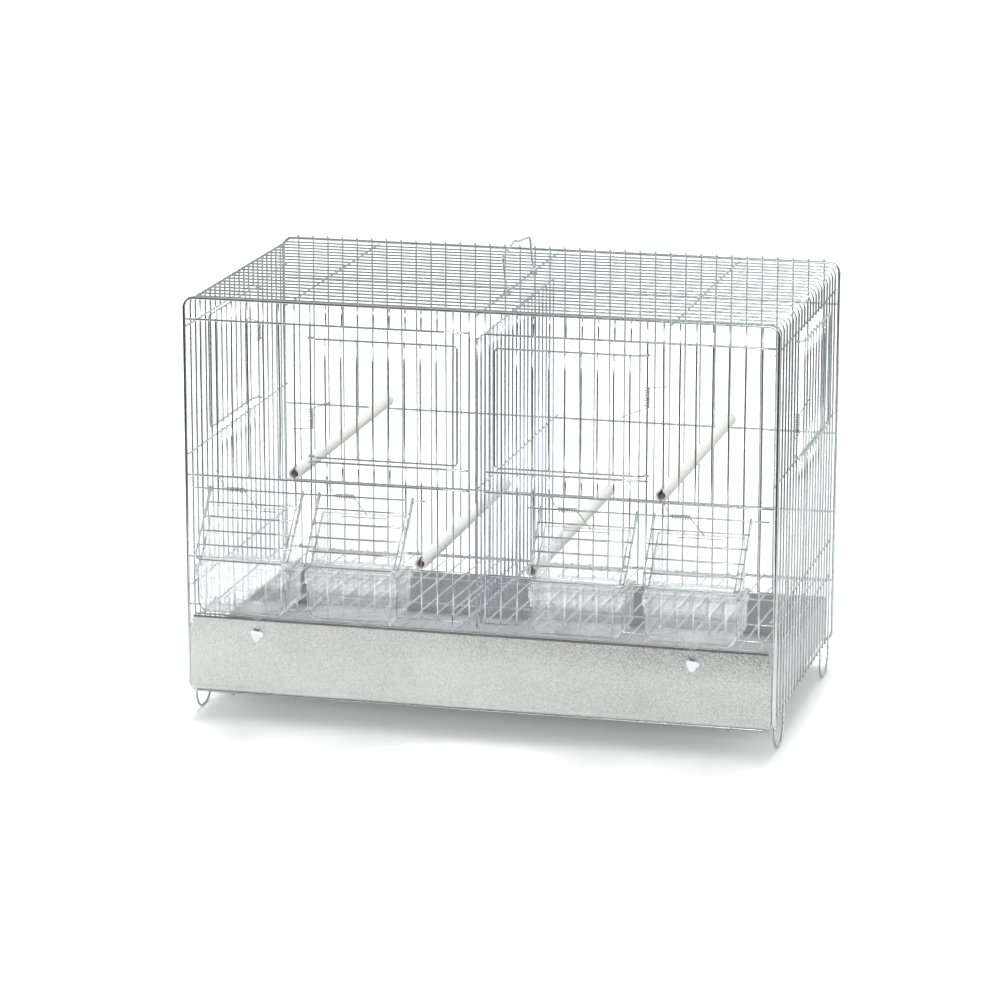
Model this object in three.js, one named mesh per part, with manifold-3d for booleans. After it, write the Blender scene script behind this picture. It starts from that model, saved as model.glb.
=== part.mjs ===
// Canary breeding cage: a welded wire cage for one or two pairs of birds.
// Two wire frames carry a wire mantle (sides and roof), a back grille and two front
// halves. A wire divider slides in through the gap between the halves. Each half has a
// sprung door and two sprung flaps over hanging feeders, each side has a sprung door,
// and a galvanised tray with a floor grid slides out under the front.
// Millimetres. X runs along the width, -Y is the front, +Z is up, feet on Z = 0.
import * as THREE from "three";
import { mergeVertices } from "three/addons/utils/BufferGeometryUtils.js";
import Module from "manifold-3d";

const wasm = await Module();
wasm.setup();

// ---------- driving sizes ----------
const PITCH = 15;                 // mesh pitch of every fixed grille
const COLUMNS = 37;               // mesh columns across the width
const ROWS = 21;                  // mesh rows through the depth
const HALF_W = COLUMNS * PITCH / 2;   // frame upright centres, 277.5
const HALF_D = ROWS * PITCH / 2;      // frame centre planes, 157.5
const Z_BASE = 26;                // bottom wire of the frames above the floor
const Z_TOP = 400;                // top wire of the frames
const GAP = 0.3;                  // running gap between separate pieces
const BITE = 0.3;                 // how far two welded wires sink into each other
const PASS = 0.2;                 // gap where a wire is only spot welded at a few crossings

// wire radii, measured across the corners of the drawn section
const R_FRAME = 1.6;
const R_BAR = 1.1;                // horizontal bars
const R_MESH = 0.95;              // upright mesh wires
const R_SKIN = 1.0;               // long wires of the mantle
const R_DOOR = 1.0;               // door and flap frames
const R_ROD = 0.9;                // light cross rods
const R_SPRING = 0.45;

// heights of the horizontal bars
const Z_F1 = Z_TOP - 20;            // front: above the doors
const Z_F2 = 252;                 // front: under the doors
const Z_PERCH_HIGH = 233;         // front and back bar that carries the upper perches
const Z_HINGE = 221;              // flap hinge wire
const Z_PERCH_LOW = 155;          // front and back bar that carries the lower perches
const Z_F6 = 109;                 // front: lowest bar, over the tray
const Z_S1 = Z_TOP - 26;            // sides: over the side door
const Z_S2 = 253;                 // sides: under the side door
const Z_S3 = 128;
const Z_RAIL = 93;                // sides: rail beside the floor grid
const Z_EDGE = 31;                // lowest bar of the sides and the back
const Z_B1 = Z_TOP - 40;            // back: top bar
const TRAY_FACE_TOP = 98.7;       // upper edge of the tray's face
const GRID_DROP = 12.5;           // the floor grid falls towards the back by this much

const FRAME_CORNER = 9;
const SKIN_IN = R_FRAME + GAP - R_SKIN + BITE;       // mantle plane inside the frame plane
const SKIN_X = HALF_W - SKIN_IN;
const SKIN_Z = Z_TOP - SKIN_IN;
const TIE_IN = HALF_W - R_FRAME - GAP - R_SKIN;      // side bars pass inside the frames
const SPLIT_Z = Z_TOP - 12;                          // roof bends meet the side wires here
const BAR_END = HALF_W - R_FRAME - GAP;
const FRONT_BAR_Y = -HALF_D;
const FRONT_MESH_Y = FRONT_BAR_Y + R_BAR + R_MESH - BITE;
const BACK_MESH_Y = HALF_D + R_FRAME + GAP + R_MESH;
const BACK_BAR_Y = BACK_MESH_Y - R_BAR - R_MESH + BITE;
const BACK_PERCH_Y = BACK_BAR_Y - BITE - PASS;

const columnX = (i) => -HALF_W + PITCH * i;          // i = 1 .. 36
const rowY = (k) => -HALF_D + PITCH * k;             // k = 1 .. 20
const UP = new THREE.Vector3(0, 0, 1);
const V = (x, y, z) => new THREE.Vector3(x, y, z);
const X_AXIS = V(1, 0, 0);
const Y_AXIS = V(0, 1, 0);

// ---------- solids ----------
function toSolid(geometry) {
  const bare = geometry.index ? geometry.toNonIndexed() : geometry.clone();
  bare.deleteAttribute("normal");
  bare.deleteAttribute("uv");
  const merged = mergeVertices(bare, 1e-4);
  const mesh = new wasm.Mesh({
    numProp: 3,
    vertProperties: new Float32Array(merged.attributes.position.array),
    triVerts: new Uint32Array(merged.index.array),
  });
  return new wasm.Manifold(mesh);
}

function weld(solids) {
  return wasm.Manifold.union(solids);
}

// A drawn wire: a section of `sides` corners swept along `points`. Its corners face
// along `normal` and square to it, so that welded wires meet corner to corner.
function wire(points, radius, normal, options = {}) {
  const { sides = 4, closed = false, turn = 0 } = options;
  const count = points.length;
  const ring = [];
  for (let i = 0; i < count; i++) {
    const before = closed ? points[(i + count - 1) % count] : points[Math.max(i - 1, 0)];
    const after = closed ? points[(i + 1) % count] : points[Math.min(i + 1, count - 1)];
    const a = points[i].clone().sub(before).normalize();
    const b = after.clone().sub(points[i]).normalize();
    if (a.lengthSq() === 0) a.copy(b);
    if (b.lengthSq() === 0) b.copy(a);
    const along = a.clone().add(b).normalize();
    const side = along.clone().cross(normal).normalize();
    const face = side.clone().cross(along).normalize();
    const mitre = 1 / Math.max(along.dot(a), 0.5);
    for (let s = 0; s < sides; s++) {
      const angle = turn + 2 * Math.PI * s / sides;
      ring.push(points[i].clone()
        .addScaledVector(face, radius * Math.cos(angle))
        .addScaledVector(side, radius * mitre * Math.sin(angle)));
    }
  }
  const index = [];
  const spans = closed ? count : count - 1;
  for (let i = 0; i < spans; i++) {
    for (let s = 0; s < sides; s++) {
      const t = (s + 1) % sides;
      const next = (i + 1) % count;
      const [p, q] = [i * sides + s, i * sides + t];
      const [u, v] = [next * sides + s, next * sides + t];
      index.push(p, q, v, p, v, u);
    }
  }
  if (!closed) {
    const last = (count - 1) * sides;
    for (let s = 1; s < sides - 1; s++) {
      index.push(0, s + 1, s);
      index.push(last, last + s, last + s + 1);
    }
  }
  const geometry = new THREE.BufferGeometry();
  geometry.setAttribute("position",
    new THREE.Float32BufferAttribute(ring.flatMap((p) => [p.x, p.y, p.z]), 3));
  geometry.setIndex(index);
  return toSolid(geometry);
}

// A path through `corners`, each rounded with the same radius in `steps` chords.
function rounded(corners, radius, steps, closed = false) {
  const out = [];
  corners.forEach((corner, i) => {
    if (!closed && (i === 0 || i === corners.length - 1)) {
      out.push(corner.clone());
      return;
    }
    const before = corners[(i + corners.length - 1) % corners.length];
    const after = corners[(i + 1) % corners.length];
    const a = before.clone().sub(corner).normalize();
    const b = after.clone().sub(corner).normalize();
    const half = a.angleTo(b) / 2;
    const reach = radius / Math.tan(half);
    const centre = corner.clone()
      .addScaledVector(a.clone().add(b).normalize(), radius / Math.sin(half));
    const from = corner.clone().addScaledVector(a, reach).sub(centre);
    const to = corner.clone().addScaledVector(b, reach).sub(centre);
    const sweep = from.angleTo(to);
    for (let s = 0; s <= steps; s++) {
      const t = s / steps;
      const point = from.clone().multiplyScalar(Math.sin((1 - t) * sweep) / Math.sin(sweep))
        .addScaledVector(to, Math.sin(t * sweep) / Math.sin(sweep));
      out.push(point.add(centre));
    }
  });
  return out;
}

// An arc of wire centre line in the plane of `u` and `v`, angles in degrees.
function arc(centre, u, v, radius, from, to, steps) {
  const out = [];
  for (let s = 0; s <= steps; s++) {
    const angle = THREE.MathUtils.degToRad(from + (to - from) * s / steps);
    out.push(centre.clone().addScaledVector(u, radius * Math.cos(angle))
      .addScaledVector(v, radius * Math.sin(angle)));
  }
  return out;
}

// A spot weld between two crossing wires that pass each other a hair apart.
const SPOT = 0.6;
function spot(from, to, normal) {
  return wire([from, to], SPOT, normal);
}

// A profile in the plane of two axes, drawn through [u, v] pairs and swept along the third.
function slab(outline, plane, from, to) {
  const shape = new THREE.Shape(outline.map(([u, v]) => new THREE.Vector2(u, v)));
  const geometry = new THREE.ExtrudeGeometry(shape, { depth: to - from, bevelEnabled: false });
  const m = new THREE.Matrix4();
  if (plane === "xy") m.makeTranslation(0, 0, from);
  if (plane === "xz") m.makeBasis(X_AXIS, UP, V(0, -1, 0)).setPosition(0, to, 0);
  if (plane === "yz") m.makeBasis(Y_AXIS, UP, X_AXIS).setPosition(from, 0, 0);
  geometry.applyMatrix4(m);
  return toSolid(geometry);
}

function box(x0, x1, y0, y1, z0, z1) {
  const geometry = new THREE.BoxGeometry(x1 - x0, y1 - y0, z1 - z0);
  geometry.translate((x0 + x1) / 2, (y0 + y1) / 2, (z0 + z1) / 2);
  return toSolid(geometry);
}

// Straight wires between two points; the section faces the grille's normal.
const straight = (a, b, radius, normal, options) => wire([a, b], radius, normal, options);

// ---------- materials ----------
const zinc = new THREE.MeshStandardMaterial({ color: 0xc9cfd0, roughness: 0.28, metalness: 0.9 });
const zincBlue = new THREE.MeshStandardMaterial({ color: 0xb9c6d2, roughness: 0.3, metalness: 0.85 });
const galvanised = new THREE.MeshStandardMaterial({ color: 0xb9bcbc, roughness: 0.5, metalness: 0.75 });
const springSteel = new THREE.MeshStandardMaterial({ color: 0xaeb4b0, roughness: 0.3, metalness: 0.9 });
const clear = new THREE.MeshStandardMaterial({
  color: 0xe4ecf0, roughness: 0.08, metalness: 0, transparent: true, opacity: 0.45,
});
const milky = new THREE.MeshStandardMaterial({ color: 0xeff1ec, roughness: 0.4, metalness: 0 });
const paleBlue = new THREE.MeshStandardMaterial({ color: 0xcfe6f0, roughness: 0.45, metalness: 0 });

const cage = new THREE.Group();
let faceCount = 0;

function add(name, solid, material) {
  const out = solid.getMesh();
  const geometry = new THREE.BufferGeometry();
  const positions = new Float32Array(out.numVert * 3);
  for (let i = 0; i < out.numVert; i++) {
    for (let c = 0; c < 3; c++) positions[3 * i + c] = out.vertProperties[out.numProp * i + c];
  }
  geometry.setAttribute("position", new THREE.BufferAttribute(positions, 3));
  geometry.setIndex(Array.from(out.triVerts));
  geometry.computeVertexNormals();
  const mesh = new THREE.Mesh(geometry, material);
  mesh.name = name;
  faceCount += out.numTri;
  console.log(name.padEnd(26), out.numTri);
  cage.add(mesh);
}

// ---------- frames ----------
function frameRing(y) {
  const corners = [V(-HALF_W, y, Z_BASE), V(HALF_W, y, Z_BASE),
    V(HALF_W, y, Z_TOP), V(-HALF_W, y, Z_TOP)];
  return wire(rounded(corners, FRAME_CORNER, 3, true), R_FRAME, Y_AXIS, { closed: true });
}

// ---------- mantle: roof and sides ----------
const ROOF_TIES = [6.5, 18.5, 30.5].map(columnX);    // three bars under the roof wires
const TIE_Z = Z_TOP - R_FRAME - GAP - R_SKIN;
const TIE_END = HALF_D + 1.2;

function roofPanel() {
  const parts = [];
  for (let k = 1; k < ROWS; k++) {
    const y = rowY(k);
    const path = rounded([V(-SKIN_X, y, SPLIT_Z + GAP / 2), V(-SKIN_X, y, SKIN_Z),
      V(SKIN_X, y, SKIN_Z), V(SKIN_X, y, SPLIT_Z + GAP / 2)], FRAME_CORNER - SKIN_IN, 2);
    parts.push(wire(path, R_SKIN, Y_AXIS));
  }
  for (const x of [ROOF_TIES[0], ROOF_TIES[2]]) {
    parts.push(straight(V(x, -TIE_END, TIE_Z), V(x, TIE_END, TIE_Z), R_SKIN, UP));
  }
  const hinge = TIE_Z - BITE - PASS;
  parts.push(straight(V(ROOF_TIES[1], -TIE_END, hinge), V(ROOF_TIES[1], TIE_END, hinge), R_SKIN, UP));
  for (const k of [1, 10, 20]) {
    parts.push(spot(V(ROOF_TIES[1], rowY(k), hinge), V(ROOF_TIES[1], rowY(k), SKIN_Z), Y_AXIS));
  }
  return weld(parts);
}

const SIDE_DOOR_ROWS = { 1: [7, 16], [-1]: [6, 15] };   // hinge wire and stop wire, by side
const FOOT_ROWS = [[1, 4], [17, 20]];
const FOOT_CORNER = 12;

// side = 1 right, -1 left. The left side is the right one turned half a turn about Z.
function sidePanel(side) {
  const place = (x, y, z) => V(side * x, side * y, z);
  const parts = [];
  const low = Z_EDGE - R_SKIN;
  const feet = FOOT_ROWS.flat();
  const [hingeRow, stopRow] = SIDE_DOOR_ROWS[side];
  for (let k = 1; k < ROWS; k++) {
    const y = rowY(k);
    const start = feet.includes(k) ? R_BAR + FOOT_CORNER + 2 : low;
    const opened = k > hingeRow && k < stopRow;
    const top = opened ? Z_S2 + R_SKIN : SPLIT_Z - GAP / 2;
    parts.push(straight(place(SKIN_X, y, start), place(SKIN_X, y, top), R_SKIN, Y_AXIS));
    if (opened) {
      parts.push(straight(place(SKIN_X, y, Z_S1 - R_SKIN), place(SKIN_X, y, SPLIT_Z - GAP / 2),
        R_SKIN, Y_AXIS));
    }
  }
  const barX = (radius) => SKIN_X - R_SKIN - radius + BITE;
  for (const z of [Z_S1, Z_S2]) {
    parts.push(straight(place(barX(R_SKIN), -TIE_END, z), place(barX(R_SKIN), TIE_END, z),
      R_SKIN, X_AXIS));
  }
  const edgeEnd = HALF_D - R_FRAME - GAP;
  parts.push(straight(place(barX(R_SKIN), -edgeEnd, Z_EDGE), place(barX(R_SKIN), edgeEnd, Z_EDGE),
    R_SKIN, X_AXIS));
  for (const z of [Z_S3, Z_RAIL]) {
    const x = barX(R_SKIN) - BITE - PASS;
    parts.push(straight(place(x, -TIE_END, z), place(x, TIE_END, z), R_SKIN, X_AXIS));
    for (const k of [1, 10, 20]) {
      parts.push(spot(place(x, rowY(k), z), place(SKIN_X, rowY(k), z), UP));
    }
  }
  for (const [a, b] of FOOT_ROWS) {
    const path = rounded([place(SKIN_X, rowY(a), Z_EDGE - 6), place(SKIN_X, rowY(a), R_BAR / Math.SQRT2),
      place(SKIN_X, rowY(b), R_BAR / Math.SQRT2), place(SKIN_X, rowY(b), Z_EDGE - 6)], FOOT_CORNER, 3);
    parts.push(wire(path, R_BAR, X_AXIS, { turn: Math.PI / 4 }));
  }
  return weld(parts);
}

// ---------- back grille ----------
const GRID_BARS = [-HALF_D + 1.2, -52, 52, HALF_D - 7];   // the floor grid's cross bars
const GRID_TOP = TRAY_FACE_TOP + GAP + 4 * R_ROD - BITE;
const gridFall = (y) => GRID_DROP * (y - GRID_BARS[0]) / (GRID_BARS.at(-1) - GRID_BARS[0]);
// the floor grid's back end lies on this bar
const Z_GRID_BAR = GRID_TOP - 2 * R_ROD - gridFall(BACK_BAR_Y) - GAP - R_BAR;

function backPanel() {
  const parts = [];
  const hookZ = Z_TOP + R_FRAME + GAP + R_MESH;
  for (let i = 1; i < COLUMNS; i++) {
    const x = columnX(i);
    parts.push(wire([V(x, BACK_MESH_Y, Z_EDGE - R_MESH), V(x, BACK_MESH_Y, hookZ),
      V(x, HALF_D - 1.2, hookZ)], R_MESH, X_AXIS));
  }
  for (const [z, end] of [[Z_B1, BAR_END], [Z_GRID_BAR, BAR_END], [Z_EDGE, BAR_END - 5]]) {
    parts.push(straight(V(-end, BACK_BAR_Y, z), V(end, BACK_BAR_Y, z), R_BAR, Y_AXIS));
  }
  for (const z of [Z_PERCH_HIGH, Z_PERCH_LOW]) {
    parts.push(straight(V(-BAR_END, BACK_PERCH_Y, z), V(BAR_END, BACK_PERCH_Y, z), R_BAR, Y_AXIS));
    for (const i of [1, 12, 25, 36]) {
      parts.push(spot(V(columnX(i), BACK_PERCH_Y, z), V(columnX(i), BACK_MESH_Y, z), UP));
    }
  }
  return weld(parts);
}

// ---------- front halves ----------
const DOOR_COLUMNS = [8, 17];     // hinge wire and stop wire of the left door
const FEEDER_COLUMNS = [[2, 7], [9, 14]];   // mesh wires on each side of a feeder opening
const HINGE_Y = FRONT_MESH_Y - R_MESH - R_ROD - PASS;
const HINGE_SPAN = [columnX(0.4), columnX(15.3)];
const HALF_END = columnX(18) + R_MESH;

// side = -1 left half, 1 right half, the left half's mirror image.
function frontHalf(side) {
  const place = (x, y, z) => V(-side * x, y, z);
  const parts = [];
  const bar = (x0, x1, z, radius = R_BAR, y = FRONT_BAR_Y) =>
    parts.push(straight(place(x0, y, z), place(x1, y, z), radius, Y_AXIS));
  const mesh = (i, z0, z1) =>
    parts.push(straight(place(columnX(i), FRONT_MESH_Y, z0), place(columnX(i), FRONT_MESH_Y, z1),
      R_MESH, Y_AXIS));
  const top = Z_TOP - R_FRAME - GAP;
  const tip = R_MESH;
  for (let i = 1; i <= 18; i++) {
    const underDoor = i > DOOR_COLUMNS[0] && i < DOOR_COLUMNS[1];
    const overFeeder = FEEDER_COLUMNS.some(([a, b]) => i > a && i < b);
    const upper = underDoor ? Z_F2 + tip : top;
    if (underDoor) mesh(i, Z_F1 - tip, top);
    if (overFeeder) {
      mesh(i, Z_PERCH_HIGH - tip, upper);
      mesh(i, Z_F6 - tip, Z_PERCH_LOW + tip);
    } else {
      mesh(i, Z_F6 - tip, upper);
    }
  }
  for (const z of [Z_F1, Z_PERCH_HIGH, Z_PERCH_LOW]) bar(-BAR_END, HALF_END, z);
  bar(columnX(DOOR_COLUMNS[0]) - 2, HALF_END, Z_F2);
  bar(-BAR_END, HALF_END, Z_F6);
  bar(HINGE_SPAN[0], HINGE_SPAN[1], Z_HINGE, R_ROD, HINGE_Y);
  for (const i of [1, 8, 15]) {
    parts.push(spot(place(columnX(i), HINGE_Y, Z_HINGE), place(columnX(i), FRONT_MESH_Y, Z_HINGE), UP));
  }
  return weld(parts);
}

// ---------- doors ----------
const EYE = R_MESH + GAP + R_DOOR;           // radius of a hinge eye's centre line
const DOOR_OVER = 5;                         // door passes its stop wire
const DOOR_OUT = 5.2;                        // door plane outside its hinge wire
const JOGGLE = 8;                            // from the eye out to the door plane
const EYE_SIDE = R_SKIN + GAP + R_DOOR;

const DOOR_BAR_Y = -DOOR_OUT + R_DOOR + R_ROD - BITE;

// A door in its own frame: hinge axis on Z at the origin, free edge at +x, outside at -y.
function door(width, z0, z1, bars, eye) {
  const parts = [];
  const edge = [V(JOGGLE - 2, -DOOR_OUT, z0), V(width, -DOOR_OUT, z0), V(width, -DOOR_OUT, z1),
    V(JOGGLE - 2, -DOOR_OUT, z1)];
  parts.push(wire(rounded(edge, 8, 3), R_DOOR, Y_AXIS));
  for (const z of [z0, z1]) {
    const ring = arc(V(0, 0, z), X_AXIS, Y_AXIS, eye, 0, 270, 5);
    parts.push(wire([...ring, V(JOGGLE, -DOOR_OUT, z)], R_DOOR, UP));
  }
  for (let n = 1; n <= bars; n++) {
    parts.push(straight(V(PITCH * n, DOOR_BAR_Y, z0 - 1.4), V(PITCH * n, DOOR_BAR_Y, z1 + 1.4), R_ROD,
      Y_AXIS));
  }
  return weld(parts);
}

// Turn and move a solid made in its own frame.
function set(solid, turnDeg, x, y, mirrorX = false) {
  let out = solid;
  if (mirrorX) out = out.mirror([1, 0, 0]);
  return out.rotate([0, 0, turnDeg]).translate([x, y, 0]);
}

const DOOR_Z = [Z_F2 + 5, Z_F1 - 12];
const SIDE_DOOR_Z = [Z_S2 + 5, Z_S1 - 8];

// ---------- torsion springs ----------
const COIL_R = 2.3;
const CURLS = 6;
const CURL_STEPS = 7;
const CURL_PITCH = 3.1;
let leastGap = Infinity;

// Coil round the Z axis from height 0 up, with one leg at each end.
// `start` and `end` are the leg tips, both leaving the coil on the side `from` (degrees);
// the coil turns clockwise seen from above.
function spring(start, end, from) {
  const total = CURLS * CURL_STEPS;
  const points = [start];
  for (let s = 0; s <= total; s++) {
    const angle = THREE.MathUtils.degToRad(from - 360 * s / CURL_STEPS);
    points.push(V(COIL_R * Math.cos(angle), COIL_R * Math.sin(angle), CURL_PITCH * s / CURL_STEPS));
  }
  points.push(end);
  for (let i = 1; i <= total + 1; i++) {
    for (let j = i + CURL_STEPS - 2; j <= total + 1; j++) {
      leastGap = Math.min(leastGap, points[i].distanceTo(points[j]) - 2 * R_SPRING);
    }
  }
  return wire(points, R_SPRING, UP);
}
const COIL_LENGTH = CURLS * CURL_PITCH;
const COIL_OFF = 29;              // flap spring coil starts this far left of the flap's centre

// ---------- flaps ----------
const FLAP_HALF = 44.5;
const FLAP_TILT = 42.6;           // out from the vertical, resting on the feeder
const FLAP_LENGTH = 74.7;
const FLAP_RODS = 4;
const HAIRPIN = 30;
const FLAP_EYE = R_ROD + GAP + R_DOOR;

// A flap in its own frame: hinge axis on X at the origin, hanging down, outside at -y.
function flap() {
  const parts = [];
  const low = -FLAP_LENGTH;
  const bend = rounded([V(-FLAP_HALF, 0, -14), V(-FLAP_HALF, 0, low), V(FLAP_HALF, 0, low),
    V(FLAP_HALF, 0, -14)], 8, 2);
  parts.push(wire(bend, R_DOOR, Y_AXIS));
  for (const x of [-FLAP_HALF, FLAP_HALF]) {
    const over = arc(V(x, 0, 0), Y_AXIS, UP, FLAP_EYE, 180, 0, 3);
    parts.push(wire([V(x, 0, -18), V(x, -FLAP_EYE, -9), ...over, V(x, FLAP_EYE, -HAIRPIN)],
      R_DOOR, X_AXIS));
  }
  for (let n = 1; n <= FLAP_RODS; n++) {
    const z = low * n / (FLAP_RODS + 1);
    parts.push(straight(V(-FLAP_HALF - 1.5, -R_DOOR - R_ROD + BITE, z),
      V(FLAP_HALF + 1.5, -R_DOOR - R_ROD + BITE, z), R_ROD, Y_AXIS));
  }
  return weld(parts);
}

// ---------- feeders ----------
const FEEDER_X = FEEDER_COLUMNS.map(([a, b]) => (columnX(a) + columnX(b)) / 2);
const FEEDER_OUT = 50.5;          // front face before the flap hinge
const FEEDER_WALL = 1.8;
const TROUGH_HALF = 43;
const RIM_HALF = 45;
const TROUGH_Z = 116;
const RIM_Z = [149, 160];
const HOOD_HALF = 40;
const HOOD_WALL = 1.6;
const HOOD_TOP = [7, 14];         // out from and below the flap hinge
const FEEDER_BACK = FRONT_BAR_Y - R_BAR - GAP;

function roundedTub(half, z0, z1, radius) {
  const points = [[-half, z1]];
  for (const [cx, from] of [[-half + radius, 180], [half - radius, 270]]) {
    for (let s = 0; s <= 4; s++) {
      const a = THREE.MathUtils.degToRad(from + 90 * s / 4);
      points.push([cx + radius * Math.cos(a), z0 + radius + radius * Math.sin(a)]);
    }
  }
  points.push([half, z1]);
  return points;
}

function feeder() {
  const front = HINGE_Y - FEEDER_OUT;
  const seat = HINGE_Y - FLAP_LENGTH * Math.sin(THREE.MathUtils.degToRad(FLAP_TILT));
  const seatZ = Z_HINGE - FLAP_LENGTH * Math.cos(THREE.MathUtils.degToRad(FLAP_TILT));
  const lip = [seat + 0.95, seatZ - 0.9];      // the flap's bar rests just above this edge
  const topY = HINGE_Y - HOOD_TOP[0];
  const topZ = Z_HINGE - HOOD_TOP[1];
  const outer = [[FEEDER_BACK, RIM_Z[1] - 1], [lip[0], RIM_Z[1] - 1], lip, [topY, topZ],
    [FEEDER_BACK, topZ]];
  const t = HOOD_WALL;
  const inner = [[FEEDER_BACK + 5, RIM_Z[1] - 2], [lip[0] + t, RIM_Z[1] - 2],
    [lip[0] + t, lip[1] - t * 0.45], [topY + t * 1.2, topZ - t * 0.9], [FEEDER_BACK + 5, topZ - t * 0.9]];
  const tub = slab(roundedTub(TROUGH_HALF, TROUGH_Z, RIM_Z[1] - 2, 11), "xz", front + 1.5, FEEDER_BACK);
  const rim = slab(roundedTub(RIM_HALF, RIM_Z[0], RIM_Z[1], 1.5), "xz", front, FEEDER_BACK);
  const hood = slab(outer, "yz", -HOOD_HALF, HOOD_HALF);
  const tongue = box(-30, 30, FEEDER_BACK - 1, FRONT_MESH_Y + 4, Z_PERCH_LOW + R_BAR + GAP,
    Z_PERCH_LOW + R_BAR + GAP + 1.6);
  const cavity = slab(roundedTub(TROUGH_HALF - FEEDER_WALL, TROUGH_Z + FEEDER_WALL, RIM_Z[1] - 2.2,
    11 - FEEDER_WALL), "xz", front + 1.5 + FEEDER_WALL, FEEDER_BACK - FEEDER_WALL);
  const mouth = slab(inner, "yz", -HOOD_HALF + t, HOOD_HALF - t);
  const throat = box(-HOOD_HALF + t, HOOD_HALF - t, lip[0] + t, FEEDER_BACK - FEEDER_WALL,
    RIM_Z[1] - 3, RIM_Z[1] + 1);
  const slot = box(-21.5, 21.5, topY - 12, topY + 8, topZ - 9.5, topZ - 3);
  return weld([tub, rim, hood]).subtract(weld([cavity, mouth, throat, slot])).add(tongue);
}

// ---------- perches ----------
const PERCH_R = 6;
const PERCH_BORE = 3.8;
const PERCH_RIBS = 8;
const PERCH_UP = PERCH_R + R_BAR + GAP;       // a perch lies on top of its two bars
const PERCH_Y = [FRONT_BAR_Y - R_BAR - GAP - 2, BACK_MESH_Y + R_MESH + GAP + 2];

function perch() {
  const ring = [];
  for (let s = 0; s < 2 * PERCH_RIBS; s++) {
    const r = s % 2 ? PERCH_R : PERCH_R - 0.7;
    const a = Math.PI * s / PERCH_RIBS;
    ring.push([r * Math.cos(a), r * Math.sin(a)]);
  }
  const hole = [];
  for (let s = 0; s < PERCH_RIBS; s++) {
    const a = 2 * Math.PI * (s + 0.5) / PERCH_RIBS;
    hole.push([PERCH_BORE * Math.cos(a), PERCH_BORE * Math.sin(a)]);
  }
  const tube = slab(ring, "xz", PERCH_Y[0], PERCH_Y[1])
    .subtract(slab(hole, "xz", PERCH_Y[0] - 1, PERCH_Y[1] + 1));
  const slot = R_MESH + GAP;
  return tube.subtract(weld([
    box(-slot, slot, PERCH_Y[0] - 1, FRONT_MESH_Y + R_MESH + GAP, -9, 9),
    box(-slot, slot, BACK_MESH_Y - R_MESH - GAP, PERCH_Y[1] + 1, -9, 9),
  ]));
}

// ---------- divider ----------
const DIVIDER_TOP = Z_S1;
const PULL_Z = [124.6, 143.5];    // the two wires of the pull at its front end
const PULL_FALL = 0.042;          // both fall towards the back by this much per millimetre
const DIVIDER_MID = Z_PERCH_HIGH + R_BAR + GAP + R_ROD;
const PULL_OUT = 88;
const DIVIDER_MESH_X = -(R_ROD + R_MESH - BITE);

function divider() {
  const parts = [];
  const foot = GRID_TOP + GAP;
  const y0 = rowY(0.5);
  const last = ROWS - 1;
  for (let n = 0; n <= last; n++) {
    const y = y0 + PITCH * n;
    parts.push(straight(V(DIVIDER_MESH_X, y, foot), V(DIVIDER_MESH_X, y, DIVIDER_TOP + R_ROD), R_MESH,
      X_AXIS));
  }
  const end = y0 + PITCH * last + 2;
  const front = FRONT_BAR_Y - 3;
  parts.push(straight(V(0, front, DIVIDER_TOP), V(0, end, DIVIDER_TOP), R_ROD, X_AXIS));
  parts.push(straight(V(BITE + PASS, front, DIVIDER_MID), V(BITE + PASS, BACK_MESH_Y + 2, DIVIDER_MID),
    R_ROD, X_AXIS));
  for (const n of [0, 10, last]) {
    const y = y0 + PITCH * n;
    parts.push(spot(V(BITE + PASS, y, DIVIDER_MID), V(DIVIDER_MESH_X, y, DIVIDER_MID), UP));
  }
  const tip = FRONT_BAR_Y - PULL_OUT;
  const at = (y, k) => V(0, y, PULL_Z[k] - PULL_FALL * (y - tip));
  const pull = rounded([at(end, 0), at(tip, 0), at(tip, 1), at(y0 + 4 * PITCH + 2, 1)], 4, 3);
  parts.push(wire(pull, R_ROD, X_AXIS));
  return weld(parts);
}

// ---------- tray, floor grid and clips ----------
const TRAY_HALF = HALF_W - 4.9;
const TRAY_SHEET = 0.9;
const TRAY_CORNER = 9;            // lower edges clear the frame's bent corners
const TRAY_Z = Z_BASE + R_FRAME + GAP;
const GRID_BAR_Z = TRAY_FACE_TOP + GAP + R_ROD;
const TRAY_WALL_TOP = 71;
const TRAY_FRONT = -HALF_D - R_FRAME;
const TRAY_BACK = HALF_D - 5;

function tray() {
  const t = TRAY_SHEET;
  const tub = (inset, top, y0, y1) => slab(
    roundedTub(TRAY_HALF - inset, TRAY_Z + inset, top, TRAY_CORNER - inset), "xz", y0, y1);
  const shell = tub(0, TRAY_WALL_TOP, TRAY_FRONT, TRAY_BACK)
    .subtract(tub(t, TRAY_WALL_TOP + 1, TRAY_FRONT + t, TRAY_BACK - t));
  const side = [[TRAY_FRONT, TRAY_Z], [TRAY_FRONT - 1.2, TRAY_Z + 0.6], [TRAY_FRONT - 1.2, TRAY_Z + 4],
    [TRAY_FRONT, TRAY_Z + 4.8], [TRAY_FRONT, TRAY_FACE_TOP], [TRAY_FRONT + 2.4, TRAY_FACE_TOP],
    [TRAY_FRONT + 2.4, TRAY_FACE_TOP - 6], [TRAY_FRONT + t, TRAY_FACE_TOP - 7.5], [TRAY_FRONT + t, TRAY_Z]];
  const face = slab(side, "yz", -TRAY_HALF, TRAY_HALF)
    .intersect(tub(0, TRAY_FACE_TOP + 1, TRAY_FRONT - 5, TRAY_FRONT + 5));
  return weld([shell, face]);
}

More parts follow.
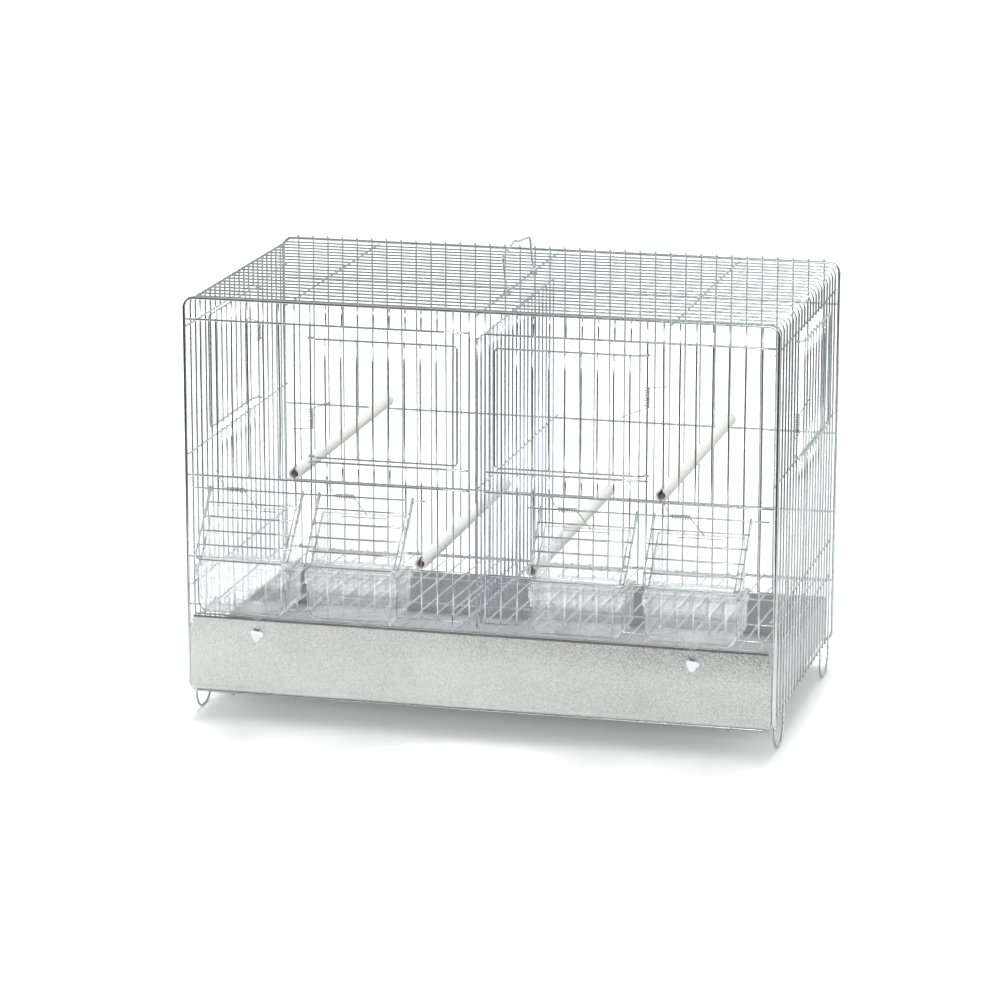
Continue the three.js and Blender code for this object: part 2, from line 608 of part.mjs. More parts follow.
const GRID_PITCH = 17.5;
const GRID_WIRES = 31;
const GRID_END = BACK_BAR_Y + 0.3;    // the wires reach over the low bar of the back grille

function floorGrid() {
  const parts = [];
  const wireZ = GRID_BAR_Z + R_ROD + R_ROD - BITE;
  for (let n = 0; n < GRID_WIRES; n++) {
    const x = GRID_PITCH * (n - (GRID_WIRES - 1) / 2);
    parts.push(straight(V(x, GRID_BARS[0] - R_ROD, wireZ), V(x, GRID_END, wireZ), R_ROD, UP));
  }
  const reach = HALF_W - 5.2;
  for (const y of [GRID_BARS[0], GRID_BARS.at(-1)]) {
    parts.push(straight(V(-reach, y, GRID_BAR_Z), V(reach, y, GRID_BAR_Z), R_ROD, UP));
  }
  for (const y of GRID_BARS.slice(1, -1)) {
    const z = GRID_BAR_Z - BITE - PASS;
    parts.push(straight(V(-reach + 3, y, z), V(reach - 3, y, z), R_ROD, UP));
    for (const n of [-15, 0, 15]) {
      parts.push(spot(V(GRID_PITCH * n, y, z), V(GRID_PITCH * n, y, wireZ), Y_AXIS));
    }
  }
  const angle = Math.atan(GRID_DROP / (GRID_BARS.at(-1) - GRID_BARS[0]));
  return weld(parts).translate([0, -GRID_BARS[0], -GRID_BAR_Z])
    .rotate([-THREE.MathUtils.radToDeg(angle), 0, 0])
    .translate([0, GRID_BARS[0], GRID_BAR_Z]);
}

const CLIP_DOWN = 22;             // lowest point of the clip's button under the tray's upper edge

function clip() {
  const y = TRAY_FRONT - GAP;
  const z = TRAY_FACE_TOP - CLIP_DOWN;
  const head = [[-8, Z_F6 - 2], [8, Z_F6 - 2], [8, Z_F6 + 3], [5, Z_F6 + 6], [-5, Z_F6 + 6], [-8, Z_F6 + 3]];
  const strap = [[-3.5, z + 8], [3.5, z + 8], [4.5, Z_F6], [-4.5, Z_F6]];
  const button = [[0, z], [5.5, z + 7], [6, z + 11], [3, z + 13], [-3, z + 13], [-6, z + 11], [-5.5, z + 7]];
  return weld([slab(head, "xz", y - 3, y), slab(strap, "xz", y - 1.6, y), slab(button, "xz", y - 4, y)]);
}

// ---------- tray rails ----------
const RAIL_X = 236;

function trayRails() {
  const z = Z_BASE - R_FRAME - GAP - R_BAR;
  const parts = [];
  for (const x of [-RAIL_X, RAIL_X]) {
    parts.push(straight(V(x, -HALF_D - 1.5, z), V(x, HALF_D + 1.5, z), R_BAR, UP));
  }
  const y = HALF_D - R_FRAME - GAP - R_BAR;
  const crossZ = z + 2 * R_BAR - BITE;
  for (const s of [-1, 1]) {
    parts.push(straight(V(-265, s * y, crossZ), V(265, s * y, crossZ), R_BAR, UP));
  }
  return weld(parts);
}

// ---------- carrying handle ----------
const HANDLE_LEGS = [-45, 60];    // each leg stands between two roof wires
const HANDLE_HIGH = [34, 40.5];   // at the legs and at the middle, above its hinge wire
const HANDLE_LEAN = 6;            // leans to the left
const R_HANDLE = 1.3;

function handle() {
  const [y0, y1] = HANDLE_LEGS;
  const middle = (y0 + y1) / 2;
  const [low, high] = HANDLE_HIGH;
  const bail = rounded([V(0, y0, 7), V(0, y0, low), V(0, middle - 3, high), V(0, middle + 3, high - 2.5),
    V(0, y1, low), V(0, y1, 7)], 2.2, 2);
  const parts = [wire(bail, R_HANDLE, X_AXIS)];
  const eye = R_SKIN + GAP + R_HANDLE;
  for (const y of HANDLE_LEGS) {
    const ring = arc(V(0, y, 0), UP, X_AXIS, eye, 40, 330, 5);
    parts.push(wire([V(0, y, 10), ...ring], R_HANDLE, Y_AXIS));
  }
  return weld(parts).rotate([0, -HANDLE_LEAN, 0]).translate([0, 0, TIE_Z - BITE - PASS]);
}

// ---------- assembly ----------
add("front_frame", frameRing(-HALF_D), zinc);
add("rear_frame", frameRing(HALF_D), zinc);
add("roof_panel", roofPanel(), zinc);
add("right_side_panel", sidePanel(1), zinc);
add("left_side_panel", sidePanel(-1), zinc);
add("back_panel", backPanel(), zinc);
add("front_left_panel", frontHalf(-1), zinc);
add("front_right_panel", frontHalf(1), zinc);
add("tray_rails", trayRails(), zinc);

const frontWidth = columnX(DOOR_COLUMNS[1]) - columnX(DOOR_COLUMNS[0]) + DOOR_OVER;
const frontDoor = door(frontWidth, DOOR_Z[0], DOOR_Z[1], DOOR_COLUMNS[1] - DOOR_COLUMNS[0] - 1, EYE);
const doorX = columnX(DOOR_COLUMNS[0]);
add("front_left_door", set(frontDoor, 0, doorX, FRONT_MESH_Y), zinc);
add("front_right_door", set(frontDoor, 0, -doorX, FRONT_MESH_Y, true), zinc);
const sideDoor = door(frontWidth, SIDE_DOOR_Z[0], SIDE_DOOR_Z[1], DOOR_COLUMNS[1] - DOOR_COLUMNS[0] - 1,
  EYE_SIDE);
const sideHinge = { 1: rowY(SIDE_DOOR_ROWS[1][0]), [-1]: -rowY(SIDE_DOOR_ROWS[-1][0]) };
add("right_side_door", set(sideDoor, 90, SKIN_X, sideHinge[1]), zinc);
add("left_side_door", set(sideDoor, -90, -SKIN_X, sideHinge[-1]), zinc);

const flapSolid = flap().rotate([-FLAP_TILT, 0, 0]).translate([0, HINGE_Y, Z_HINGE]);
const feederSolid = feeder();
const perchSolid = perch();
const slots = [FEEDER_X[0], FEEDER_X[1], -FEEDER_X[1], -FEEDER_X[0]];
slots.forEach((x, n) => {
  add(`flap_${n + 1}`, flapSolid.translate([x, 0, 0]), zinc);
  add(`feeder_${n + 1}`, feederSolid.translate([x, 0, 0]), clear);
});
const perchPlaces = [[7, Z_PERCH_HIGH], [15, Z_PERCH_LOW], [22, Z_PERCH_LOW], [30, Z_PERCH_HIGH]];
perchPlaces.forEach(([i, z], n) => {
  add(`perch_${n + 1}`, perchSolid.translate([columnX(i), 0, z + PERCH_UP]), milky);
});

// Door springs: one leg lies on the door's first bar, the other on the next fixed wire.
const legY = (y, radius) => y - radius - GAP - R_SPRING;
const LEG_PAST = 7.5;
const onDoor = -COIL_R + (legY(DOOR_BAR_Y, R_ROD) + COIL_R) * (PITCH + LEG_PAST) / PITCH;
function doorSpring(radius) {
  return spring(V(-PITCH - 3, legY(0, radius), -1), V(PITCH + LEG_PAST, onDoor, COIL_LENGTH + 9), -90);
}
const frontSpring = doorSpring(R_MESH);
const sideSpring = doorSpring(R_SKIN);
const turned = frontSpring.rotate([0, 180, 0]).translate([0, 0, COIL_LENGTH]);
const FRONT_SPRING_Z = [283, 320];
const SIDE_SPRING_Z = [280, 315];
add("front_left_door_spring", set(frontSpring, 0, doorX, FRONT_MESH_Y)
  .translate([0, 0, FRONT_SPRING_Z[0]]), springSteel);
add("front_right_door_spring", set(turned, 0, -doorX, FRONT_MESH_Y)
  .translate([0, 0, FRONT_SPRING_Z[1]]), springSteel);
add("right_side_door_spring", set(sideSpring, 90, SKIN_X, sideHinge[1])
  .translate([0, 0, SIDE_SPRING_Z[0]]), springSteel);
add("left_side_door_spring", set(sideSpring, -90, -SKIN_X, sideHinge[-1])
  .translate([0, 0, SIDE_SPRING_Z[1]]), springSteel);

// Flap springs: coil on the hinge wire, one leg up over the bar above, one down on the flap.
const tilt = THREE.MathUtils.degToRad(FLAP_TILT);
const rodDown = FLAP_LENGTH / (FLAP_RODS + 1) + 5;
const rodOut = R_DOOR + 2 * R_ROD - BITE + GAP + R_SPRING;
const legDown = [-rodDown * Math.sin(tilt) - rodOut * Math.cos(tilt),
  -rodDown * Math.cos(tilt) + rodOut * Math.sin(tilt)];
const upZ = Z_PERCH_HIGH - Z_HINGE + 6;
const upY = FRONT_BAR_Y - R_BAR - GAP - R_SPRING - HINGE_Y;
const flapSpring = spring(V(upY, upZ, -1), V(legDown[0], legDown[1], COIL_LENGTH + 16), 180);
slots.forEach((x, n) => {
  // local x, y, z become world y, z, x
  const laid = flapSpring.transform([0, 1, 0, 0, 0, 0, 1, 0, 1, 0, 0, 0, x - COIL_OFF, HINGE_Y, Z_HINGE, 1]);
  add(`flap_${n + 1}_spring`, laid, springSteel);
});

add("divider", divider(), zincBlue);
add("floor_grid", floorGrid(), zincBlue);
add("tray", tray(), galvanised);
add("clip_left", clip().translate([-210, 0, 0]), paleBlue);
add("clip_right", clip().translate([203, 0, 0]), paleBlue);
add("handle", handle(), zinc);

// Feet on the floor, and the plan centre of everything over the origin.
cage.updateMatrixWorld(true);
const bounds = new THREE.Box3().setFromObject(cage);
const centre = bounds.getCenter(new THREE.Vector3());
cage.position.set(-centre.x, -centre.y, -bounds.min.z);
console.log("spring gap to itself", leastGap.toFixed(2), "mm");
console.log("triangles", faceCount, "size", bounds.getSize(new THREE.Vector3()).toArray());
console.log("shift", cage.position.toArray());

export default cage;
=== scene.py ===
"""Canary breeding cage, dressed over its packed frame.

Sizes below are millimetres in the cage's own axes: X along the width, -Y the front, Z up
from the floor, Y = 0 midway between the two wire frames. `rows()` turns them into metres.
"""

import math

import bmesh
import bpy
import numpy as np
from mathutils import Matrix, Vector


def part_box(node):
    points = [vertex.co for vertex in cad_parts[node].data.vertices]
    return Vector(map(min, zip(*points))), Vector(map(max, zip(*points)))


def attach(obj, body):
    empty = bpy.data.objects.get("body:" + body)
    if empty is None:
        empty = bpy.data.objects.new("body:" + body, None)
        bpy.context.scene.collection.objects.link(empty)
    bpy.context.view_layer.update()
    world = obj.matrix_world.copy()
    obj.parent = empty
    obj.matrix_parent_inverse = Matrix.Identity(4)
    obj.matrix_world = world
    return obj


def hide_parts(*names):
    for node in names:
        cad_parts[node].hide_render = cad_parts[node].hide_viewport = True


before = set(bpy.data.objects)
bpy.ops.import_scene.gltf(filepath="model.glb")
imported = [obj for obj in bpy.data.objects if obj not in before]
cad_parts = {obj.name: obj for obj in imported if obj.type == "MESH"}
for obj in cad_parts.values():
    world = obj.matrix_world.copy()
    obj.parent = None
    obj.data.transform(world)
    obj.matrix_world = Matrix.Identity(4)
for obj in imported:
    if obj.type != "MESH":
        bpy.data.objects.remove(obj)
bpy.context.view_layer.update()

bl_info = {
    "name": "Canary breeding cage",
    "version": (1, 0, 0),
    "blender": (4, 5, 0),
    "location": "3D View > Sidebar > Cage",
    "description": "Dresses the packed breeding cage in drawn wire, sheet and moulded plastic",
    "category": "Object",
}

# ---------- sizes ----------
# R_ is a wire's radius and Z_ the height of a level wire: F in the front, S in the sides, B in the back.
# GAP is the air between pieces that move on each other, BITE is how deep welded wires sink into each
# other, and PASS is how far wires that must pass others are set back from them.
PITCH = 15.0
COLUMNS, ROWS = 37, 21
HALF_W, HALF_D = COLUMNS * PITCH / 2, ROWS * PITCH / 2
Z_BASE, Z_TOP = 26.0, 400.0
GAP, BITE, PASS = 0.3, 0.3, 0.2
R_FRAME, R_BAR, R_MESH, R_SKIN, R_DOOR, R_ROD, R_SPRING = 1.6, 1.1, 0.95, 1.0, 1.0, 0.9, 0.45
R_HANDLE = 1.3
FOOT_CORNER = 19.0
Z_F1, Z_F2, Z_HIGH, Z_HINGE, Z_LOW, Z_F6 = 380.0, 252.0, 233.0, 221.0, 155.0, 109.0
Z_S1, Z_S2, Z_S3, Z_RAIL, Z_EDGE, Z_B1 = 374.0, 253.0, 128.0, 93.0, 31.0, 360.0
TRAY_FACE_TOP, GRID_DROP = 98.7, 12.5
FRAME_CORNER = 9.0
SKIN_IN = R_FRAME + GAP - R_SKIN + BITE
SKIN_X, SKIN_Z = HALF_W - SKIN_IN, Z_TOP - SKIN_IN
SPLIT_Z = Z_TOP - 12
BAR_END = HALF_W - R_FRAME - GAP
FRONT_BAR_Y = -HALF_D
FRONT_MESH_Y = FRONT_BAR_Y + R_BAR + R_MESH - BITE
BACK_MESH_Y = HALF_D + R_FRAME + GAP + R_MESH
BACK_BAR_Y = BACK_MESH_Y - R_BAR - R_MESH + BITE
BACK_PERCH_Y = BACK_BAR_Y - BITE - PASS
TIE_Z = Z_TOP - R_FRAME - GAP - R_SKIN
TIE_END = HALF_D + 1.2
DOOR_COLUMNS = (8, 17)
FEEDER_COLUMNS = ((2, 7), (9, 14))
SIDE_DOOR_ROWS = {1: (7, 16), -1: (6, 15)}
FOOT_ROWS = ((1, 4), (17, 20))
HINGE_Y = FRONT_MESH_Y - R_MESH - R_ROD - PASS
DOOR_OUT, JOGGLE, DOOR_OVER = 5.2, 8.0, 5.0
DOOR_BAR_Y = -DOOR_OUT + R_DOOR + R_ROD - BITE
EYE = R_MESH + GAP + R_DOOR
EYE_SIDE = R_SKIN + GAP + R_DOOR
DOOR_Z = (Z_F2 + 5, Z_F1 - 12)
SIDE_DOOR_Z = (Z_S2 + 5, Z_S1 - 8)
DOOR_WIDTH = PITCH * (DOOR_COLUMNS[1] - DOOR_COLUMNS[0]) + DOOR_OVER
COIL_R, COIL_LENGTH, COIL_TURNS, COIL_OFF = 2.3, 18.6, 8, 29.0
FRONT_SPRING_Z, SIDE_SPRING_Z = (283.0, 320.0), (280.0, 315.0)
FLAP_HALF, FLAP_TILT, FLAP_LENGTH, FLAP_RODS, HAIRPIN = 44.5, 42.6, 74.7, 4, 30.0
FLAP_EYE = R_ROD + GAP + R_DOOR
GRID_BARS = (-HALF_D + 1.2, -52.0, 52.0, HALF_D - 7)
GRID_TOP = TRAY_FACE_TOP + GAP + 4 * R_ROD - BITE
GRID_BAR_Z = TRAY_FACE_TOP + GAP + R_ROD
TRAY_HALF, TRAY_SHEET, TRAY_CORNER = HALF_W - 4.9, 0.9, 9.0
TRAY_Z, TRAY_WALL_TOP = Z_BASE + R_FRAME + GAP, 71.0
TRAY_FRONT, TRAY_BACK = -HALF_D - R_FRAME, HALF_D - 5
PANEL_HALF = HALF_W - R_FRAME - GAP
FRAME_Y = [sum(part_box(n)[k].y for k in (0, 1)) / 2 for n in ("front_frame", "rear_frame")]
SHIFT_Y = sum(FRAME_Y) / 2


def column_x(i):
    """Place of mesh column i across the width."""
    return -HALF_W + PITCH * i


def row_y(k):
    """Place of mesh row k through the depth."""
    return -HALF_D + PITCH * k


def grid_fall(y):
    """How far the floor grid has dropped at depth y."""
    return GRID_DROP * (y - GRID_BARS[0]) / (GRID_BARS[-1] - GRID_BARS[0])


FEEDER_X = [(column_x(a) + column_x(b)) / 2 for a, b in FEEDER_COLUMNS]
FEEDER_X = [FEEDER_X[0], FEEDER_X[1], -FEEDER_X[1], -FEEDER_X[0]]
Z_GRID_BAR = GRID_TOP - 2 * R_ROD - grid_fall(BACK_BAR_Y) - GAP - R_BAR


def rows(points):
    """Cage millimetres to metres in the row frame."""
    out = np.array(points, float).reshape(-1, 3) * 0.001
    out[:, 1] += SHIFT_Y
    return out


# ---------- wire paths ----------
def bend(corners, radius, steps=6, closed=False):
    """A path through the corners, each one rounded with the same radius."""
    corners = [np.array(c, float) for c in corners]
    count = len(corners)
    out = []
    for i, corner in enumerate(corners):
        if not closed and i in (0, count - 1):
            out.append(corner)
            continue
        a = corners[i - 1] - corner
        b = corners[(i + 1) % count] - corner
        a, b = a / np.linalg.norm(a), b / np.linalg.norm(b)
        half = math.acos(max(-1.0, min(1.0, float(a @ b)))) / 2
        middle = (a + b) / np.linalg.norm(a + b)
        centre = corner + middle * radius / math.sin(half)
        start = corner + a * radius / math.tan(half) - centre
        end = corner + b * radius / math.tan(half) - centre
        sweep = math.pi - 2 * half
        for s in range(steps + 1):
            t = s / steps
            point = start * math.sin((1 - t) * sweep) + end * math.sin(t * sweep)
            out.append(centre + point / math.sin(sweep))
    return np.array(out)


def arc(centre, u, v, radius, start, end, steps):
    """An arc in the plane of u and v, angles in degrees."""
    angles = np.radians(np.linspace(start, end, steps + 1))[:, None]
    u, v = np.array(u, float), np.array(v, float)
    return np.array(centre, float) + radius * (np.cos(angles) * u + np.sin(angles) * v)


def spaced(path, step, closed=False):
    """The same path with points no further apart than step."""
    path = np.asarray(path, float)
    ends = np.roll(path, -1, axis=0) if closed else path[1:]
    out = []
    for a, b in zip(path, ends):
        parts = max(1, int(math.ceil(np.linalg.norm(b - a) / step)))
        out.extend(a + (b - a) * s / parts for s in range(parts))
    if not closed:
        out.append(path[-1])
    return np.array(out)


def turn_matrix(axis, angle):
    """The rotation by angle radians about X, Y or Z, given as 0, 1 or 2."""
    a, b = (axis + 1) % 3, (axis + 2) % 3
    out = np.eye(3)
    out[a, a] = out[b, b] = math.cos(angle)
    out[b, a] = math.sin(angle)
    out[a, b] = -out[b, a]
    return out


def turned(points, degrees, x=0.0, y=0.0, mirror=False):
    """Points turned about Z and moved, mirrored across X first if asked."""
    out = np.array(points, float).reshape(-1, 3)
    if mirror:
        out[:, 0] *= -1
    return out @ turn_matrix(2, math.radians(degrees)).T + np.array([x, y, 0])


def steps_along(path, closed):
    """The vectors from each point of a path to the next, and their lengths."""
    ahead = np.roll(path, -1, axis=0) - path
    if not closed:
        ahead[-1] = ahead[-2]
    return ahead, np.linalg.norm(ahead, axis=1)


def stray():
    """How far a long wire strays from straight, as the sidebar says."""
    return bpy.context.scene.cage_wires.stray


class Rods:
    """Round wires of one welded piece, gathered into a single mesh."""

    # a cut end's small chamfer: its length and its end face, as shares of the wire's radius
    CHAMFER, END_FACE = 0.3, 0.72
    BEAD_SIDES = 6

    def __init__(self, seed, sides=10):
        self.random = np.random.default_rng(seed)
        self.sides = sides
        self.points, self.faces = [], []
        self.run, self.tone, self.heat = [], [], []
        self.count = 0

    def wire(self, path, radius, closed=False, step=30.0, sway=0.0, sway_to=(1, 0, 0), cut=True):
        """One wire along path. sway is how far it strays towards sway_to between its ends."""
        path = spaced(path, step, closed)
        n = len(path)
        ahead, length = steps_along(path, closed)
        along = np.concatenate([[0.0], np.cumsum(length)[:-1]])
        if sway:
            t = along / max(along[-1], 1.0)
            phase, lean = self.random.uniform(0, 6.28), self.random.normal(0, 1)
            curve = 0.6 * lean * np.sin(math.pi * t) + 0.4 * np.sin(2.3 * math.pi * t + phase)
            curve *= np.minimum(1.0, np.minimum(t, 1 - t) * 8)
            path = path + sway * curve[:, None] * np.array(sway_to, float)
            ahead, length = steps_along(path, closed)
        direction = ahead / length[:, None]
        before = np.roll(direction, 1, axis=0)
        if not closed:
            before[0] = direction[0]
        tangent = direction + before
        tangent /= np.linalg.norm(tangent, axis=1)[:, None]
        radii = np.full(n, float(radius))
        if cut and not closed:
            tip = tangent[[0, -1]] * radius * self.CHAMFER
            path = np.vstack([path[0], path[0] + tip[0], path[1:-1], path[-1] - tip[1], path[-1]])
            tangent = np.vstack([tangent[0], tangent, tangent[-1]])
            radii = np.concatenate([[radius * self.END_FACE], radii, [radius * self.END_FACE]])
            along = np.concatenate([[0.0], along, [along[-1]]])
            n += 2
        normal = np.zeros((n, 3))
        steep = abs(tangent[0, 2]) >= 0.8
        current = np.cross(tangent[0], np.array([0.0, 1.0, 0.0] if steep else [0.0, 0.0, 1.0]))
        for i in range(n):
            current = current - tangent[i] * (current @ tangent[i])
            current /= np.linalg.norm(current)
            normal[i] = current
        other = np.cross(tangent, normal)
        sides = self.sides
        angles = np.linspace(0, 2 * math.pi, sides, endpoint=False)
        ring = (np.cos(angles)[None, :, None] * normal[:, None, :]
                + np.sin(angles)[None, :, None] * other[:, None, :])
        self.points.append((path[:, None, :] + ring * radii[:, None, None]).reshape(-1, 3))
        first = self.count
        spans = n if closed else n - 1
        for i in range(spans):
            j = (i + 1) % n
            for s in range(sides):
                t = (s + 1) % sides
                self.faces.append((first + i * sides + s, first + i * sides + t,
                                   first + j * sides + t, first + j * sides + s))
        if not closed:
            self.faces.append(tuple(first + s for s in reversed(range(sides))))
            self.faces.append(tuple(first + (n - 1) * sides + s for s in range(sides)))
        self.run.append(np.repeat(along, sides) * 0.001)
        self.tone.append(np.full(n * sides, self.random.uniform(0, 1)))
        self.heat.append(np.zeros(n * sides))
        self.count += n * sides

    def bead(self, point, radius=0.8):
        """A small weld where two wires have sunk into each other."""
        point = np.array(point, float)
        size = radius * self.random.uniform(0.85, 1.15)
        first, sides = self.count, self.BEAD_SIDES
        shell = [point + np.array([0, 0, size]), point - np.array([0, 0, size])]
        for level in (0.5, -0.5):
            flat = size * math.sqrt(1 - level * level)
            for s in range(sides):
                a = math.pi * (s + (0.5 if level < 0 else 0)) / 3
                shell.append(point + np.array([flat * math.cos(a), flat * math.sin(a), size * level]))
        self.points.append(np.array(shell))
        for s in range(sides):
            t = (s + 1) % sides
            self.faces += [(first, first + 2 + s, first + 2 + t),
                           (first + 2 + s, first + 8 + s, first + 2 + t),
                           (first + 2 + t, first + 8 + s, first + 8 + t),
                           (first + 1, first + 8 + t, first + 8 + s)]
        self.run.append(np.zeros(len(shell)))
        self.tone.append(np.full(len(shell), 0.5))
        self.heat.append(np.ones(len(shell)))
        self.count += len(shell)

    def place(self, function):
        """Turns or moves everything gathered so far."""
        self.points = [function(p) for p in self.points]

    def mesh(self, name):
        """The finished mesh with the wire's run, tone and weld heat on its points."""
        made = bpy.data.meshes.new(name)
        made.from_pydata(rows(np.vstack(self.points)).tolist(), [], self.faces)
        for key, values in (("run", self.run), ("tone", self.tone), ("heat", self.heat)):
            layer = made.attributes.new(key, "FLOAT", "POINT")
            layer.data.foreach_set("value", np.concatenate(values).astype(np.float32))
        made.shade_smooth()
        made.set_sharp_from_angle(angle=math.radians(50))
        return made


# ---------- sheet and moulded forms ----------
def loft(rings):
    """A closed solid through closed rings of the same count, its two ends capped."""
    rings = [np.array(r, float) for r in rings]
    count = len(rings[0])
    faces = [tuple(reversed(range(count)))]
    for i in range(len(rings) - 1):
        low, high = i * count, (i + 1) * count
        for s in range(count):
            t = (s + 1) % count
            faces.append((low + s, low + t, high + t, high + s))
    faces.append(tuple((len(rings) - 1) * count + s for s in range(count)))
    made = bpy.data.meshes.new("form")
    made.from_pydata(rows(np.vstack(rings)).tolist(), [], faces)
    made.update()
    return outward(made)


def outward(mesh):
    """Makes every face of a closed mesh look outward."""
    work = bmesh.new()
    work.from_mesh(mesh)
    bmesh.ops.recalc_face_normals(work, faces=work.faces)
    if work.calc_volume(signed=True) < 0:
        bmesh.ops.reverse_faces(work, faces=work.faces)
    work.to_mesh(mesh)
    work.free()
    return mesh


def prism(outline, axis, low, high, inset=0.0):
    """An outline swept along an axis; its ends are drawn in by inset for a soft edge."""
    outline = np.array(outline, float)
    middle = (outline.min(0) + outline.max(0)) / 2
    half = (outline.max(0) - outline.min(0)) / 2
    stations = [(low, inset), (low + inset, 0.0), (high - inset, 0.0), (high, inset)]
    if not inset:
        stations = [(low, 0.0), (high, 0.0)]
    others = [k for k in range(3) if k != axis]
    rings = []
    for at, drawn in stations:
        flat = middle + (outline - middle) * (1 - drawn / half)
        ring = np.zeros((len(outline), 3))
        ring[:, others] = flat
        ring[:, axis] = at
        rings.append(ring)
    return loft(rings)


def block(x0, x1, y0, y1, z0, z1):
    """A plain block used to cut or join other forms."""
    return prism([(y0, z0), (y1, z0), (y1, z1), (y0, z1)], 0, x0, x1)


def combined(base, steps):
    """Joins, cuts or keeps the overlap of meshes in turn, and returns the new mesh."""
    holder = bpy.data.objects.new("work", base)
    bpy.context.scene.collection.objects.link(holder)
    helpers = []
    for kind, mesh in steps:
        helper = bpy.data.objects.new("helper", mesh)
        bpy.context.scene.collection.objects.link(helper)
        helpers.append(helper)
        step = holder.modifiers.new(kind, "BOOLEAN")
        step.operation = kind
        step.solver = "EXACT"
        step.object = helper
    return applied(holder, helpers)


def applied(holder, helpers=()):
    """The holder's mesh with its modifiers applied; the holder and helpers are removed."""
    bpy.context.view_layer.update()
    graph = bpy.context.evaluated_depsgraph_get()
    made = bpy.data.meshes.new_from_object(holder.evaluated_get(graph))
    for item in (holder, *helpers):
        bpy.data.objects.remove(item)
    return made


def softened(mesh, width, segments=2, angle=35, edge_slot=-1):
    """Rounds a form's hard edges by width millimetres, with a material slot of their own if given."""
    mesh.shade_smooth()
    holder = bpy.data.objects.new("work", mesh)
    bpy.context.scene.collection.objects.link(holder)
    edge = holder.modifiers.new("edge", "BEVEL")
    edge.width = width * 0.001
    edge.segments = segments
    edge.limit_method = "ANGLE"
    edge.angle_limit = math.radians(angle)
    edge.use_clamp_overlap = True
    edge.material = edge_slot
    flat = holder.modifiers.new("flat", "WEIGHTED_NORMAL")
    flat.weight = 100
    flat.keep_sharp = True
    return applied(holder)


def show(name, mesh, body, looks):
    """Puts a finished mesh into the scene as the piece that stands for the packed node of that name."""
    piece = bpy.data.objects.new(f"dressed_{name}", mesh)
    bpy.context.scene.collection.objects.link(piece)
    mesh.materials.clear()
    for look in looks:
        mesh.materials.append(material_of(look))
    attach(piece, body)
    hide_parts(name)
    return piece


def show_wires(name, rods, body="cage", look="zinc"):
    """Puts a piece made of round wires into the scene."""
    show(name, rods.mesh(name), body, [look])


# ---------- shader groups ----------
def new_group(name, **inputs):
    """A shader group with a named input for each value: None is a place, a tuple is a colour."""
    group = bpy.data.node_groups.new(name, "ShaderNodeTree")
    for title, value in inputs.items():
        kind = "Vector" if value is None else "Color" if isinstance(value, tuple) else "Float"
        socket = group.interface.new_socket(title, in_out="INPUT", socket_type=f"NodeSocket{kind}")
        if kind == "Color":
            socket.default_value = (*value, 1)
        elif kind == "Float":
            socket.default_value = value
    return group, group.nodes.new("NodeGroupInput").outputs


def give_out(group, colour, roughness, height):
    """Gives a shader group its three outputs and returns it."""
    for title, kind in (("Color", "Color"), ("Roughness", "Float"), ("Height", "Float")):
        group.interface.new_socket(title, in_out="OUTPUT", socket_type=f"NodeSocket{kind}")
    node(group, "NodeGroupOutput", [("Color", colour), ("Roughness", roughness), ("Height", height)])
    return group


def node(tree, kind, links=(), **values):
    """A node with its properties and sockets set; links are (socket, source or value) pairs."""
    made = tree.nodes.new(kind)
    for key, value in values.items():
        setattr(made, key, value)
    for socket, source in links:
        target = made.inputs[socket]
        if isinstance(source, bpy.types.NodeSocket):
            tree.links.new(source, target)
        elif target.type == "RGBA":
            target.default_value = (*source, 1)
        else:
            target.default_value = source
    return made


def maths(tree, operation, *terms, clamp=False):
    """One arithmetic step between values or sockets."""
    return node(tree, "ShaderNodeMath", enumerate(terms), operation=operation, use_clamp=clamp).outputs[0]


def spread(tree, value, middle, gain, clamp=False):
    """How far a value is above middle, times gain."""
    return maths(tree, "MULTIPLY", maths(tree, "SUBTRACT", value, middle), gain, clamp=clamp)


def between(tree, value, low, high, least=0.0, most=1.0):
    """How far a value has come from low to high, told from least to most."""
    return node(tree, "ShaderNodeMapRange", [("Value", value), ("From Min", low), ("From Max", high),
                                             ("To Min", least), ("To Max", most)]).outputs[0]


def noise(tree, place, scale, detail, roughness=0.5):
    """The value of a noise over a place."""
    return node(tree, "ShaderNodeTexNoise", [("Vector", place), ("Scale", scale), ("Detail", detail),
                                             ("Roughness", roughness)]).outputs["Fac"]


def ramp(tree, factor, stops):
    """A ramp through (place, grey) stops."""
    made = node(tree, "ShaderNodeValToRGB", [("Fac", factor)])
    band = made.color_ramp
    while len(band.elements) < len(stops):
        band.elements.new(0.5)
    for element, (place, grey) in zip(band.elements, stops):
        element.position = place
        element.color = (grey, grey, grey, 1)
    return made.outputs["Color"]


def blend_colour(tree, factor, a, b):
    """Two colours mixed by a factor."""
    return node(tree, "ShaderNodeMix", [(0, factor), (6, a), (7, b)], data_type="RGBA").outputs[2]


